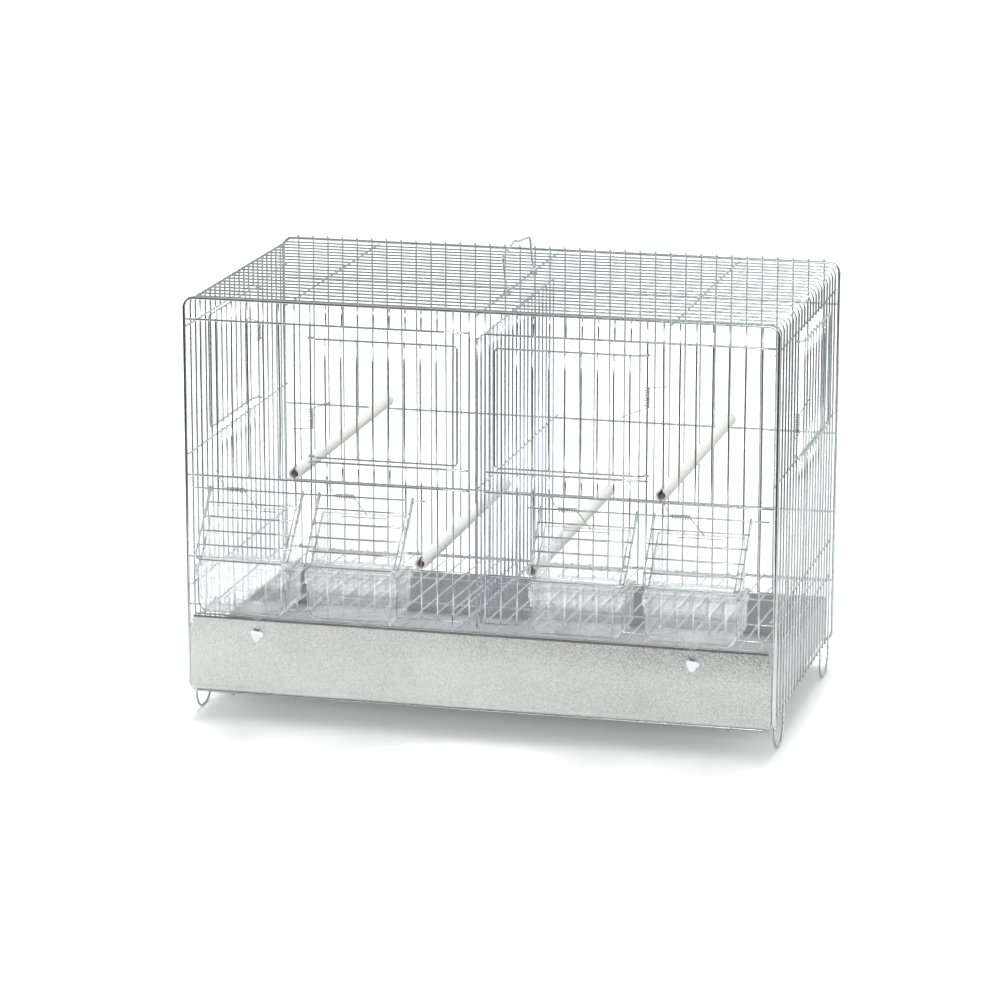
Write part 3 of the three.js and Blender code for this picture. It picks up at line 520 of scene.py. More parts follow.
def wire_finish():
    """Plated drawn wire: clouded plating, tone from wire to wire, dull welds and a fine grain."""
    group, given = new_group("Plated wire", Place=None, Run=0.0, Tone=0.5, Heat=0.0, Bright=(0.8, 0.82, 0.83),
                             Dull=(0.6, 0.62, 0.63), Roughness=0.25)
    cloud = noise(group, given["Place"], 90.0, 5.0, 0.6)
    grain = noise(group, given["Place"], 1400.0, 2.0)
    along = maths(group, "MULTIPLY_ADD", given["Tone"], 37.0, given["Run"])
    drift = node(group, "ShaderNodeTexNoise", [("W", along), ("Scale", 14.0), ("Detail", 2.0)],
                 noise_dimensions="1D")
    patch = maths(group, "MULTIPLY", maths(group, "MULTIPLY", cloud, drift.outputs["Fac"]), 2.2)
    patch = maths(group, "SMOOTH_MIN", patch, 1.0)
    dull = maths(group, "ADD", maths(group, "SUBTRACT", patch, 0.25), spread(group, given["Tone"], 0.5, 0.35))
    dull = maths(group, "ADD", dull, maths(group, "MULTIPLY", given["Heat"], 0.5), clamp=True)
    return give_out(group, blend_colour(group, dull, given["Bright"], given["Dull"]),
                    maths(group, "MULTIPLY_ADD", dull, 0.22, given["Roughness"]),
                    maths(group, "ADD", maths(group, "MULTIPLY", grain, 0.5), cloud))


def speckle_finish():
    """Hot dipped sheet: fine dark speckle, small crystal flecks and soft cloudy areas."""
    group, given = new_group("Galvanised speckle", Place=None, Light=(0.8, 0.8, 0.8), Dark=(0.4, 0.4, 0.4),
                             Amount=0.6)
    fine = noise(group, given["Place"], 1100.0, 3.0, 0.8)
    cloud = noise(group, given["Place"], 9.0, 4.0, 0.6)
    flecks = node(group, "ShaderNodeTexVoronoi", [("Vector", given["Place"]), ("Scale", 800.0)])
    fleck = node(group, "ShaderNodeSeparateColor", [("Color", flecks.outputs["Color"])]).outputs[0]
    total = maths(group, "ADD", spread(group, fine, 0.40, 3.4, clamp=True), spread(group, fleck, 0.5, 0.35))
    total = maths(group, "ADD", total, spread(group, cloud, 0.5, 0.9))
    total = maths(group, "MULTIPLY", total, given["Amount"], clamp=True)
    return give_out(group, blend_colour(group, total, given["Light"], given["Dark"]),
                    maths(group, "ADD", maths(group, "MULTIPLY", total, 0.18), 0.42), fine)


def handling_finish():
    """Fine scuffs, dust and faint flow lines left on moulded plastic."""
    group, given = new_group("Handled plastic", Place=None, Clean=(0.9, 0.9, 0.9), Dusty=(0.8, 0.8, 0.8),
                             Amount=0.3, Roughness=0.2)
    dust = noise(group, given["Place"], 35.0, 6.0, 0.7)
    stretched = node(group, "ShaderNodeVectorMath", [(0, given["Place"]), (1, (900.0, 120.0, 60.0))],
                     operation="MULTIPLY")
    scuff = noise(group, stretched.outputs[0], 1.0, 3.0)
    mask = maths(group, "MULTIPLY", spread(group, dust, 0.45, 3.0, clamp=True), given["Amount"])
    fine = maths(group, "MAXIMUM", spread(group, scuff, 0.55, given["Amount"]), 0.0)
    return give_out(group, blend_colour(group, mask, given["Clean"], given["Dusty"]),
                    maths(group, "ADD", maths(group, "ADD", mask, fine), given["Roughness"]), scuff)


# ---------- materials ----------
def place_of(tree):
    """The piece's own coordinates, in metres."""
    return tree.nodes.new("ShaderNodeTexCoord").outputs["Object"]


def blank(name):
    """A new material without nodes, and its tree."""
    made = bpy.data.materials.new(name)
    made.use_nodes = True
    made.node_tree.nodes.clear()
    return made, made.node_tree


def shaded(name, group, maker, **values):
    """A material of one Principled shader beside a shader group whose inputs get the values."""
    made, tree = blank(name)
    shader = tree.nodes.new("ShaderNodeBsdfPrincipled")
    node(tree, "ShaderNodeOutputMaterial", [(0, shader.outputs[0])])
    around = node(tree, "ShaderNodeGroup", [("Place", place_of(tree)), *values.items()],
                  node_tree=bpy.data.node_groups.get(group) or maker())
    return made, tree, shader, around


def fed(tree, shader, around, distance, strength):
    """Joins a group's roughness to the shader, and its height to the shader's normal."""
    tree.links.new(around.outputs["Roughness"], shader.inputs["Roughness"])
    bump = node(tree, "ShaderNodeBump", [("Height", around.outputs["Height"]), ("Distance", distance),
                                         ("Strength", strength)])
    tree.links.new(bump.outputs[0], shader.inputs["Normal"])


def wire_material(name, bright, dullness, roughness):
    """Plated wire in the given colour."""
    made, tree, shader, around = shaded(name, "Plated wire", wire_finish, Bright=bright,
                                        Dull=[v * dullness for v in bright], Roughness=roughness)
    for title in ("Run", "Tone", "Heat"):
        stored = node(tree, "ShaderNodeAttribute", attribute_name=title.lower())
        tree.links.new(stored.outputs["Fac"], around.inputs[title])
    tree.links.new(around.outputs["Color"], shader.inputs["Base Color"])
    shader.inputs["Metallic"].default_value = 1.0
    fed(tree, shader, around, 0.00012, 0.4)
    return made


def sheet_material(name, light, darkness):
    """Galvanised sheet: stained under the face's fold, with the face's dull lower band and a greyer inside."""
    made, tree, shader, around = shaded(name, "Galvanised speckle", speckle_finish, Light=light,
                                        Dark=[v * darkness for v in light])
    plain, speckle = around.outputs["Color"], around.outputs["Height"]
    where = node(tree, "ShaderNodeSeparateXYZ", [("Vector", place_of(tree))]).outputs
    height = where["Z"]
    start, end = (rows([(0, TRAY_FRONT + depth, 0)])[0][1] for depth in (0.3, 0.7))
    inside = between(tree, where["Y"], start, end)
    # painted shade under the face's fold: speckled, strongest near the top and towards the right, faint over
    # the rest of the face
    upper = maths(tree, "ADD", between(tree, height, 0.068, 0.1), 0.22, clamp=True)
    fold_shade_right = between(tree, where["X"], -0.15, 0.27, 0.15, 1.0)
    dots = spread(tree, speckle, 0.47, 9.0, clamp=True)
    dots = maths(tree, "ADD", maths(tree, "MULTIPLY", dots, 0.8), 0.2, clamp=True)
    drawn = maths(tree, "MULTIPLY", maths(tree, "MULTIPLY", upper, fold_shade_right), dots)
    outer = blend_colour(tree, drawn, plain, (0.12, 0.12, 0.12))
    # painted shade of the tray's inside: everything behind the outside of the front face is blended towards a
    # darker bluish grey
    inner = blend_colour(tree, 0.28, plain, (0.10, 0.14, 0.18))
    sheet = blend_colour(tree, inside, outer, inner)
    # a thin dark line along the top of the face, at the hem
    top = TRAY_FACE_TOP * 0.001
    hem_line = maths(tree, "MULTIPLY", between(tree, height, top - 0.0019, top - 0.0011), 0.8)
    colour = blend_colour(tree, hem_line, sheet, (0.09, 0.08, 0.07))
    tree.links.new(colour, shader.inputs["Base Color"])
    shader.inputs["Metallic"].default_value = 0.3
    fed(tree, shader, around, 0.0002, 0.35)
    return made


def plastic_material(name, clean, dusty, roughness, dust=0.3, clear=0.0, milky=0.0):
    """Moulded plastic: clear, milky or solid."""
    made, tree, shader, around = shaded(name, "Handled plastic", handling_finish, Clean=clean, Dusty=dusty,
                                        Roughness=roughness, Amount=dust)
    tree.links.new(around.outputs["Color"], shader.inputs["Base Color"])
    shader.inputs["IOR"].default_value = 1.38 if clear else 1.49
    shader.inputs["Transmission Weight"].default_value = clear
    shader.inputs["Alpha"].default_value = 0.75 if clear else 1.0
    if milky:
        shader.inputs["Subsurface Weight"].default_value = milky
        shader.inputs["Subsurface Radius"].default_value = (1.0, 1.0, 1.0)
        shader.inputs["Subsurface Scale"].default_value = 0.003
    if clear:
        shader.inputs["Roughness"].default_value = roughness
    else:
        fed(tree, shader, around, 0.00008, 0.25)
    return made


def material_of(look):
    """The cage's material of that name, made on first use from the sidebar's colours."""
    tones = bpy.context.scene.cage_finish
    gloss, drawn_gloss = tones.wire_roughness, 0.22
    name, maker, values, extras = {
        "zinc": ("Zinc plated wire", wire_material, (tones.zinc, 0.8, gloss), {}),
        "blue": ("Blue zinc plated wire", wire_material, (tones.blue_zinc, 0.75, gloss), {}),
        "grid": ("Floor grid wire", wire_material, (tones.grid, 0.82, drawn_gloss), {}),
        "spring": ("Spring wire", wire_material, (tones.spring, 0.7, drawn_gloss), {}),
        "sheet": ("Galvanised sheet", sheet_material, (tones.sheet, 0.4), {}),
        "clear": ("Clear plastic", plastic_material, (tones.clear, (0.93, 0.95, 0.96), 0.01),
                  {"dust": 0.08, "clear": 1.0}),
        # whiter, less clear plastic on the feeders' rounded edges: a painted highlight along them
        "edge": ("Clear plastic edge", plastic_material, ((0.93, 0.95, 0.98), (0.88, 0.9, 0.93), 0.12),
                 {"dust": 0.08, "clear": 0.35}),
        "milky": ("Milky plastic", plastic_material, (tones.milky, (0.72, 0.71, 0.68), 0.38), {"milky": 0.35}),
        "bore": ("Shaded bore", plastic_material, ((0.62, 0.55, 0.51), (0.66, 0.6, 0.56), 0.6), {}),
        "clip": ("Pale blue plastic", plastic_material, (tones.clip, (0.75, 0.82, 0.85), 0.35), {"milky": 0.2}),
    }[look]
    return bpy.data.materials.get(name) or maker(name, *values, **extras)


# ---------- frames and grilles ----------
# the height at which a side wire meets its foot loop, and the air kept under the feet
FOOT_MEETS, FLOOR_SLACK = 14.0, 0.02


def build_frames():
    """The two closed rings of heavy wire."""
    for name, y in (("front_frame", -HALF_D), ("rear_frame", HALF_D)):
        rods = Rods(11, sides=14)
        corners = [(-HALF_W, y, Z_BASE), (HALF_W, y, Z_BASE), (HALF_W, y, Z_TOP), (-HALF_W, y, Z_TOP)]
        rods.wire(bend(corners, FRAME_CORNER, 8, closed=True), R_FRAME, closed=True)
        show_wires(name, rods)


def build_roof():
    """Twenty roof wires bent down at both sides, on three tie bars."""
    rods = Rods(21)
    ties = [(column_x(6.5), TIE_Z), (column_x(18.5), TIE_Z - BITE - PASS), (column_x(30.5), TIE_Z)]
    for k in range(1, ROWS):
        y = row_y(k)
        path = bend([(-SKIN_X, y, SPLIT_Z), (-SKIN_X, y, SKIN_Z), (SKIN_X, y, SKIN_Z), (SKIN_X, y, SPLIT_Z)],
                    FRAME_CORNER - SKIN_IN, 6)
        rods.wire(path, R_SKIN, sway=stray(), sway_to=(0, 1, 0), cut=False)
        for x, z in ties:
            rods.bead((x, y, (z + SKIN_Z) / 2))
    for x, z in ties:
        rods.wire([(x, -TIE_END, z), (x, TIE_END, z)], R_SKIN)
    show_wires("roof_panel", rods)


def build_sides():
    """Both side grilles with their bars and the wire loops that the cage stands on."""
    near = SKIN_X - 2 * R_SKIN + BITE
    far = near - BITE - PASS
    feet = [k for pair in FOOT_ROWS for k in pair]
    bars = [(Z_S1, near), (Z_S2, near), (Z_EDGE, near), (Z_S3, far), (Z_RAIL, far)]
    for side, name in ((1, "right_side_panel"), (-1, "left_side_panel")):
        rods = Rods(31 + side)
        put = lambda x, y, z: (side * x, side * y, z)
        hinge_row, stop_row = SIDE_DOOR_ROWS[side]
        for k in range(1, ROWS):
            y = row_y(k)
            opened = hinge_row < k < stop_row
            start = FOOT_MEETS if k in feet else Z_EDGE - R_SKIN
            if k not in feet:
                rods.wire([put(SKIN_X, y, start), put(SKIN_X, y, start + 1.5)], R_SKIN)
                start += 1.0
            top = Z_S2 + R_SKIN if opened else SPLIT_Z
            rods.wire([put(SKIN_X, y, start), put(SKIN_X, y, top)], R_SKIN, sway=stray(),
                      sway_to=(0, 1, 0), cut=opened)
            if opened:
                rods.wire([put(SKIN_X, y, Z_S1 - R_SKIN), put(SKIN_X, y, SPLIT_Z)], R_SKIN, cut=False)
            for z, x in bars:
                rods.bead(put((x + SKIN_X) / 2, y, z))
        for z, x in bars:
            reach = HALF_D - R_FRAME - GAP if z == Z_EDGE else TIE_END
            rods.wire([put(x, -reach, z), put(x, reach, z)], R_SKIN)
        for a, b in FOOT_ROWS:
            foot, head = R_BAR + FLOOR_SLACK, Z_EDGE - 6
            path = bend([put(SKIN_X, row_y(a), head), put(SKIN_X, row_y(a), foot),
                         put(SKIN_X, row_y(b), foot), put(SKIN_X, row_y(b), head)], FOOT_CORNER, 10)
            rods.wire(path, R_BAR - FLOOR_SLACK)
        show_wires(name, rods)


def build_back():
    """The back grille, hooked over the rear frame."""
    rods = Rods(41)
    hook = Z_TOP + R_FRAME + GAP + R_MESH
    bars = [(Z_B1, BAR_END, BACK_BAR_Y), (Z_GRID_BAR, BAR_END, BACK_BAR_Y), (Z_EDGE, BAR_END - 5, BACK_BAR_Y),
            (Z_HIGH, BAR_END, BACK_PERCH_Y), (Z_LOW, BAR_END, BACK_PERCH_Y)]
    for i in range(1, COLUMNS):
        x = column_x(i)
        path = bend([(x, BACK_MESH_Y, Z_EDGE - R_MESH), (x, BACK_MESH_Y, hook), (x, HALF_D - 1.2, hook)],
                    1.4, 4)
        rods.wire(path, R_MESH, sway=stray())
        for z, _, y in bars:
            rods.bead((x, (y + BACK_MESH_Y) / 2, z))
    for z, end, y in bars:
        rods.wire([(-end, y, z), (end, y, z)], R_BAR)
    show_wires("back_panel", rods)


def build_fronts():
    """The two front halves with their doorways, feeder windows and flap hinge wires."""
    top = Z_TOP - R_FRAME - GAP
    half_end = column_x(18) + R_MESH
    bars = [(Z_F1, -BAR_END, half_end), (Z_HIGH, -BAR_END, half_end), (Z_LOW, -BAR_END, half_end),
            (Z_F2, column_x(DOOR_COLUMNS[0]) - 2, half_end), (Z_F6, -BAR_END, half_end)]
    for side, name in ((-1, "front_left_panel"), (1, "front_right_panel")):
        rods = Rods(51 + side)

        def upright(i, low, high, sway=0.0):
            """The wire of one column, with a weld at each level wire that it crosses."""
            x = -side * column_x(i)
            rods.wire([(x, FRONT_MESH_Y, low), (x, FRONT_MESH_Y, high)], R_MESH, sway=sway)
            for z, start, end in bars:
                if low <= z <= high and start <= column_x(i) <= end:
                    rods.bead((x, (FRONT_MESH_Y + FRONT_BAR_Y) / 2, z))

        for i in range(1, 19):
            under_door = DOOR_COLUMNS[0] < i < DOOR_COLUMNS[1]
            upper = Z_F2 + R_MESH if under_door else top
            if under_door:
                upright(i, Z_F1 - R_MESH, top)
            if any(a < i < b for a, b in FEEDER_COLUMNS):
                upright(i, Z_HIGH - R_MESH, upper, 0.0 if under_door else stray())
                upright(i, Z_F6 - R_MESH, Z_LOW + R_MESH)
            else:
                upright(i, Z_F6 - R_MESH, upper, stray())
        for z, start, end in bars:
            rods.wire([(-side * start, FRONT_BAR_Y, z), (-side * end, FRONT_BAR_Y, z)], R_BAR)
        rods.wire([(-side * column_x(i), HINGE_Y, Z_HINGE) for i in (0.4, 15.3)], R_ROD)
        for i in (1, 2, 7, 8, 9, 14, 15):
            rods.bead((-side * column_x(i), (HINGE_Y + FRONT_MESH_Y) / 2 + 0.05, Z_HINGE))
        show_wires(name, rods)


# ---------- doors, flaps and springs ----------
# degrees that an eye is wound, how far a door's bars pass its rim, and what the springs are drawn thicker by
EYE_TURN, BAR_PAST, SPRING_SHOWN = 262, 1.4, 0.08
# where each door's hinge wire stands: the door's turn in degrees, x and y
DOOR_HINGES = {
    "front_left_door": (0, column_x(DOOR_COLUMNS[0]), FRONT_MESH_Y),
    "front_right_door": (0, -column_x(DOOR_COLUMNS[0]), FRONT_MESH_Y),
    "right_side_door": (90, SKIN_X, row_y(SIDE_DOOR_ROWS[1][0])),
    "left_side_door": (-90, -SKIN_X, -row_y(SIDE_DOOR_ROWS[-1][0])),
}


def door_rods(z0, z1, eye, seed):
    """A door in its own axes: hinge on Z at the origin, free edge at +x, outside at -y."""
    rods = Rods(seed)
    lower, upper = (arc((0, 0, z), (1, 0, 0), (0, 1, 0), eye, 0, EYE_TURN, 14) for z in (z0, z1))
    near, out = (JOGGLE - 5.5, -DOOR_OUT + 2.6), (JOGGLE - 0.5, -DOOR_OUT)
    rim = bend([(*near, z0), (*out, z0), (DOOR_WIDTH, -DOOR_OUT, z0),
                (DOOR_WIDTH, -DOOR_OUT, z1), (*out, z1), (*near, z1)], 3.5, 8)
    rods.wire(np.vstack([lower, rim, upper[::-1]]), R_DOOR)
    for n in range(1, DOOR_COLUMNS[1] - DOOR_COLUMNS[0]):
        x = PITCH * n
        rods.wire([(x, DOOR_BAR_Y, z0 - BAR_PAST), (x, DOOR_BAR_Y, z1 + BAR_PAST)], R_ROD)
        for z in (z0, z1):
            rods.bead((x, (DOOR_BAR_Y - DOOR_OUT) / 2, z), 0.7)
    return rods


def build_doors():
    """Two front doors and two side doors, each hung on a mesh wire."""
    for seed, (name, (turn, x, y)) in enumerate(DOOR_HINGES.items(), 61):
        heights, eye = (DOOR_Z, EYE) if name.startswith("front") else (SIDE_DOOR_Z, EYE_SIDE)
        mirror = name == "front_right_door"
        rods = door_rods(*heights, eye, seed)
        rods.place(lambda p: turned(p, turn, x, y, mirror))
        if mirror:
            rods.faces = [tuple(reversed(f)) for f in rods.faces]
        show_wires(name, rods, name)


def build_flaps():
    """Four flaps of bent wire with cross rods, looped over the hinge wire."""
    lean = turn_matrix(0, -math.radians(FLAP_TILT))
    out, wide = -R_DOOR - R_ROD + BITE, FLAP_HALF + 1.5

    def loop(x):
        """The turn over the hinge wire, ending in a leg behind it."""
        over = arc((x, 0, 0), (0, 1, 0), (0, 0, 1), FLAP_EYE, 180, 0, 10)
        return np.vstack([over, [(x, FLAP_EYE, -HAIRPIN)]])

    def leg(x):
        """One side of the flap, from its lower corner up to the hinge."""
        return [(x, 0, -FLAP_LENGTH), (x, 0, -18), (x, -FLAP_EYE * 0.95, -8.5)]

    outline = bend([*leg(-FLAP_HALF)[::-1], *leg(FLAP_HALF)], 7.0, 7)
    for n, x in enumerate(FEEDER_X, 1):
        rods = Rods(70 + n)
        rods.wire(np.vstack([loop(-FLAP_HALF)[::-1], outline, loop(FLAP_HALF)]), R_DOOR)
        for r in range(1, FLAP_RODS + 1):
            z = -FLAP_LENGTH * r / (FLAP_RODS + 1)
            rods.wire([(-wide, out, z), (wide, out, z)], R_ROD, sway=0.25, sway_to=(0, 0, 1))
            for side in (-1, 1):
                rods.bead((side * FLAP_HALF, out / 2, z), 0.7)
        rods.place(lambda p: p @ lean.T + np.array([x, HINGE_Y, Z_HINGE]))
        show_wires(f"flap_{n}", rods, f"flap_{n}")


def coil(start, end, begin):
    """An open wound spring about Z from height 0, with a straight leg to its start and end points."""
    steps = COIL_TURNS * 12
    s = np.arange(steps + 1)
    angle = math.radians(begin) + 2 * math.pi * s / 12
    body = np.column_stack([COIL_R * np.cos(angle), COIL_R * np.sin(angle), COIL_LENGTH * s / steps])
    return [np.array(start, float), *body, np.array(end, float)]


def build_springs():
    """Torsion springs that close the doors and hold the flaps down."""
    past = 7.5
    leg_y = lambda y, radius: y - radius - GAP - R_SPRING
    on_door = -COIL_R + (leg_y(DOOR_BAR_Y, R_ROD) + COIL_R) * (PITCH + past) / PITCH

    def door_spring(radius):
        """A door's spring about its hinge wire, one leg on the next wire and one on the door."""
        return coil((-PITCH - 3, leg_y(0, radius), -1), (PITCH + past, on_door, COIL_LENGTH + 9), -90)

    front, side = np.array(door_spring(R_MESH)), np.array(door_spring(R_SKIN))
    over = front * np.array([-1, 1, -1]) + np.array([0, 0, COIL_LENGTH])
    made = {name: turned(spring, *hinge) + np.array([0, 0, z]) for (name, hinge), spring, z in zip(
        DOOR_HINGES.items(), (front, over, side, side), (*FRONT_SPRING_Z, *SIDE_SPRING_Z))}
    tilt = math.radians(FLAP_TILT)
    down = FLAP_LENGTH / (FLAP_RODS + 1) + 5
    out = R_DOOR + 2 * R_ROD - BITE + GAP + R_SPRING
    low_y = -down * math.sin(tilt) - out * math.cos(tilt)
    low_z = -down * math.cos(tilt) + out * math.sin(tilt)
    up_y, up_z = leg_y(FRONT_BAR_Y, R_BAR) - HINGE_Y, Z_HIGH - Z_HINGE + 6
    flap = np.array(coil((up_y, up_z, -9), (low_y, low_z, COIL_LENGTH + 16), 180))
    flap[1:-1, 1] *= -1
    for n, fx in enumerate(FEEDER_X, 1):
        made[f"flap_{n}"] = flap[:, [2, 0, 1]] + np.array([fx - COIL_OFF, HINGE_Y, Z_HINGE])
    for name, path in made.items():
        rods = Rods(80, sides=8)
        rods.wire(path, R_SPRING + SPRING_SHOWN, step=6)
        show_wires(f"{name}_spring", rods, "cage", "spring")


# ---------- feeders and perches ----------
# feeder: how far the trough stands out, half widths, heights, the tub's corner, and wall thicknesses
TROUGH_OUT = 50.5
TUB_HALF, TUB_LOW, TUB_CORNER = 43, 116, 11
RIM_HALF, RIM_LOW, RIM_TOP = 45, 149, 160
HOOD_HALF, HOOD_LOW = 40, 159
TUB_WALL, HOOD_WALL, TONGUE = 1.8, 1.6, 1.6
# perch: ribs, radii outside and inside, rounding of the ends, and each one's mesh column and bar height
PERCH_RIBS, PERCH_R, PERCH_BORE, PERCH_END = 20, 6.0, 3.8, 0.35
PERCH_PLACES = ((7, Z_HIGH), (15, Z_LOW), (22, Z_LOW), (30, Z_HIGH))


def rounded(x0, x1, low, high, radius, steps):
    """A rectangle with its two lower corners rounded, from its left one round to its upper two."""
    left = arc((x0 + radius, low + radius, 0), (1, 0, 0), (0, 1, 0), radius, 180, 270, steps)
    right = arc((x1 - radius, low + radius, 0), (1, 0, 0), (0, 1, 0), radius, 270, 360, steps)
    return np.vstack([left[:, :2], right[:, :2], [(x1, high), (x0, high)]])


def tub_outline(half, z0, z1, radius, steps=7):
    """A trough's section across the width: two upright sides and rounded lower corners."""
    return np.roll(rounded(-half, half, z0, z1, radius, steps), 1, axis=0)


def feeder_mesh(x):
    """One hanging feeder: trough, rim, hood with its slot, and the tongue over the bar."""
    front, back = HINGE_Y - TROUGH_OUT, FRONT_BAR_Y - R_BAR - GAP
    face = front + 1.5
    tilt = math.radians(FLAP_TILT)
    lip_y = HINGE_Y - FLAP_LENGTH * math.sin(tilt) + 0.95
    lip_z = Z_HINGE - FLAP_LENGTH * math.cos(tilt) - 0.9
    top_y, top_z = HINGE_Y - 7, Z_HINGE - 14
    wall, thin = TUB_WALL, HOOD_WALL
    off, hollow = np.array([x, 0]), HOOD_HALF - thin
    tub = prism(tub_outline(TUB_HALF, TUB_LOW, 158, TUB_CORNER) + off, 1, face, back, 0.6)
    rim = prism(rounded(x - RIM_HALF, x + RIM_HALF, front, back, 3.5, 5), 2, RIM_LOW, RIM_TOP, 0.5)
    hood = prism([(back, HOOD_LOW), (lip_y, HOOD_LOW), (lip_y, lip_z), (top_y, top_z), (back, top_z)],
                 0, x - HOOD_HALF, x + HOOD_HALF)
    cavity = prism(tub_outline(TUB_HALF - wall, TUB_LOW + wall, 157.8, TUB_CORNER - wall) + off,
                   1, face + wall, back - wall)
    well = prism(rounded(x - 41.4, x + 41.4, front + 2.9, back - wall, 2.5, 5), 2, RIM_LOW - 1, RIM_TOP - 1.4)
    mouth = prism([(back + 5, 158), (lip_y + thin, 158), (lip_y + thin, lip_z - thin * 0.45),
                   (top_y + thin * 1.2, top_z - thin * 0.9), (back + 5, top_z - thin * 0.9)],
                  0, x - hollow, x + hollow)
    throat = block(x - hollow, x + hollow, lip_y + thin, back - wall, RIM_TOP - 3, RIM_TOP + 1)
    slot = block(x - 21.5, x + 21.5, top_y - 12, top_y + 8, top_z - 9.5, top_z - 3)
    recess = prism([(x - 33, 122), (x + 33, 122), (x + 35, 124), (x + 35, 143), (x + 33, 145), (x - 33, 145),
                    (x - 35, 143), (x - 35, 124)], 1, front - 1, front + 2.0)
    cuts = [("DIFFERENCE", form) for form in (cavity, well, mouth, throat, slot, recess)]
    made = combined(tub, [("UNION", rim), ("UNION", hood), *cuts])
    on_bar = Z_LOW + R_BAR + GAP
    tongue = block(x - 30, x + 30, back - 1, FRONT_MESH_Y + 4, on_bar, on_bar + TONGUE)
    made = combined(made, [("UNION", tongue)])
    made.materials.clear()
    made.materials.append(None)
    made.materials.append(None)
    # the rounded edges take the second slot, whiter plastic that paints a highlight along them
    return softened(made, 0.6, edge_slot=1)


def build_feeders():
    """Four clear feeders hung in the front."""
    for n, x in enumerate(FEEDER_X, 1):
        show(f"feeder_{n}", feeder_mesh(x), f"feeder_{n}", ["clear", "edge"])


def build_perches():
    """Four ribbed hollow perches, slotted over the mesh wires at both ends."""
    y0, y1 = FRONT_BAR_Y - R_BAR - GAP - 2, BACK_MESH_Y + R_MESH + GAP + 2
    ends = ((y0 - 1, FRONT_MESH_Y + R_MESH + GAP), (BACK_MESH_Y - R_MESH - GAP, y1 + 1))
    bore, slot = PERCH_BORE, R_MESH + GAP + 0.1
    angles = np.linspace(0, 2 * math.pi, PERCH_RIBS * 6, endpoint=False)
    crown = PERCH_R - 0.22 + 0.2 * np.cos(PERCH_RIBS * angles)
    stations = [(y0, PERCH_END), (y0 + PERCH_END, 0.0), *[(y, 0.0) for y in np.linspace(y0 + 20, y1 - 20, 9)],
                (y1 - PERCH_END, 0.0), (y1, PERCH_END)]
    for n, (i, z) in enumerate(PERCH_PLACES, 1):
        x, up = column_x(i), z + PERCH_R + R_BAR + GAP
        rings = []
        for y, drawn in stations:
            r = crown - drawn
            rings.append(np.column_stack([x + r * np.cos(angles), np.full(len(r), y), up + r * np.sin(angles)]))
        circle = np.column_stack([x + bore * np.cos(angles[::4]), up + bore * np.sin(angles[::4])])
        cuts = [prism(circle, 1, y0 - 1, y1 + 1),
                *[block(x - slot, x + slot, start, end, up - 9, up + 9) for start, end in ends]]
        made = combined(loft(rings), [("DIFFERENCE", cut) for cut in cuts])
        made.shade_smooth()
        made.set_sharp_from_angle(angle=math.radians(38))
        piece = show(f"perch_{n}", made, f"perch_{n}", ["milky", "bore"])
        for face in piece.data.polygons:
            c = face.center
            near = math.hypot(c.x * 1000 - x, c.z * 1000 - up) < bore + 0.25
            face.material_index = 1 if near and abs(face.normal.y) < 0.5 else 0


# ---------- divider, floor grid, tray ----------
# the divider's pull: how far it stands out, its two heights there, its fall and the rows its short wire crosses
PULL_REACH, PULL_Z, PULL_FALL, PULL_ROWS = 88, (124.6, 143.5), 0.042, 4
GRID_WIRES, GRID_PITCH = 31, 17.5
CLIP_X = {"clip_left": -210.0, "clip_right": 203.0}
RAIL_X, RAIL_REACH = 236, 265


def build_divider():
    """The sliding wire divider with its pull in front."""
    rods = Rods(91)
    mesh_x = -(R_ROD + R_MESH - BITE)
    first, last = row_y(0.5), ROWS - 1
    end = first + PITCH * last + 2
    short_end = first + PITCH * PULL_ROWS + 2
    front, tip = FRONT_BAR_Y - 3, FRONT_BAR_Y - PULL_REACH
    middle_x, middle_z = BITE + PASS, Z_HIGH + R_BAR + GAP + R_ROD
    lower, upper = (lambda y, z=z: z - PULL_FALL * (y - tip) for z in PULL_Z)
    for n in range(last + 1):
        y = first + PITCH * n
        rods.wire([(mesh_x, y, GRID_TOP + GAP), (mesh_x, y, Z_S1 + R_ROD)], R_MESH, sway=stray(),
                  sway_to=(0, 1, 0))
        crossed = [(Z_S1, 0.0), (middle_z, middle_x), (lower(y), 0.0)]
        if n <= PULL_ROWS:
            crossed.append((upper(y), 0.0))
        for z, x in crossed:
            rods.bead(((mesh_x + x) / 2, y, z), 0.75)
    rods.wire([(0, front, Z_S1), (0, end, Z_S1)], R_ROD)
    rods.wire([(middle_x, front, middle_z), (middle_x, BACK_MESH_Y + 2, middle_z)], R_ROD)
    rods.wire(bend([(0, end, lower(end)), (0, tip, lower(tip)), (0, tip, upper(tip)),
                    (0, short_end, upper(short_end))], 4, 7), R_ROD)
    show_wires("divider", rods, "divider", "blue")


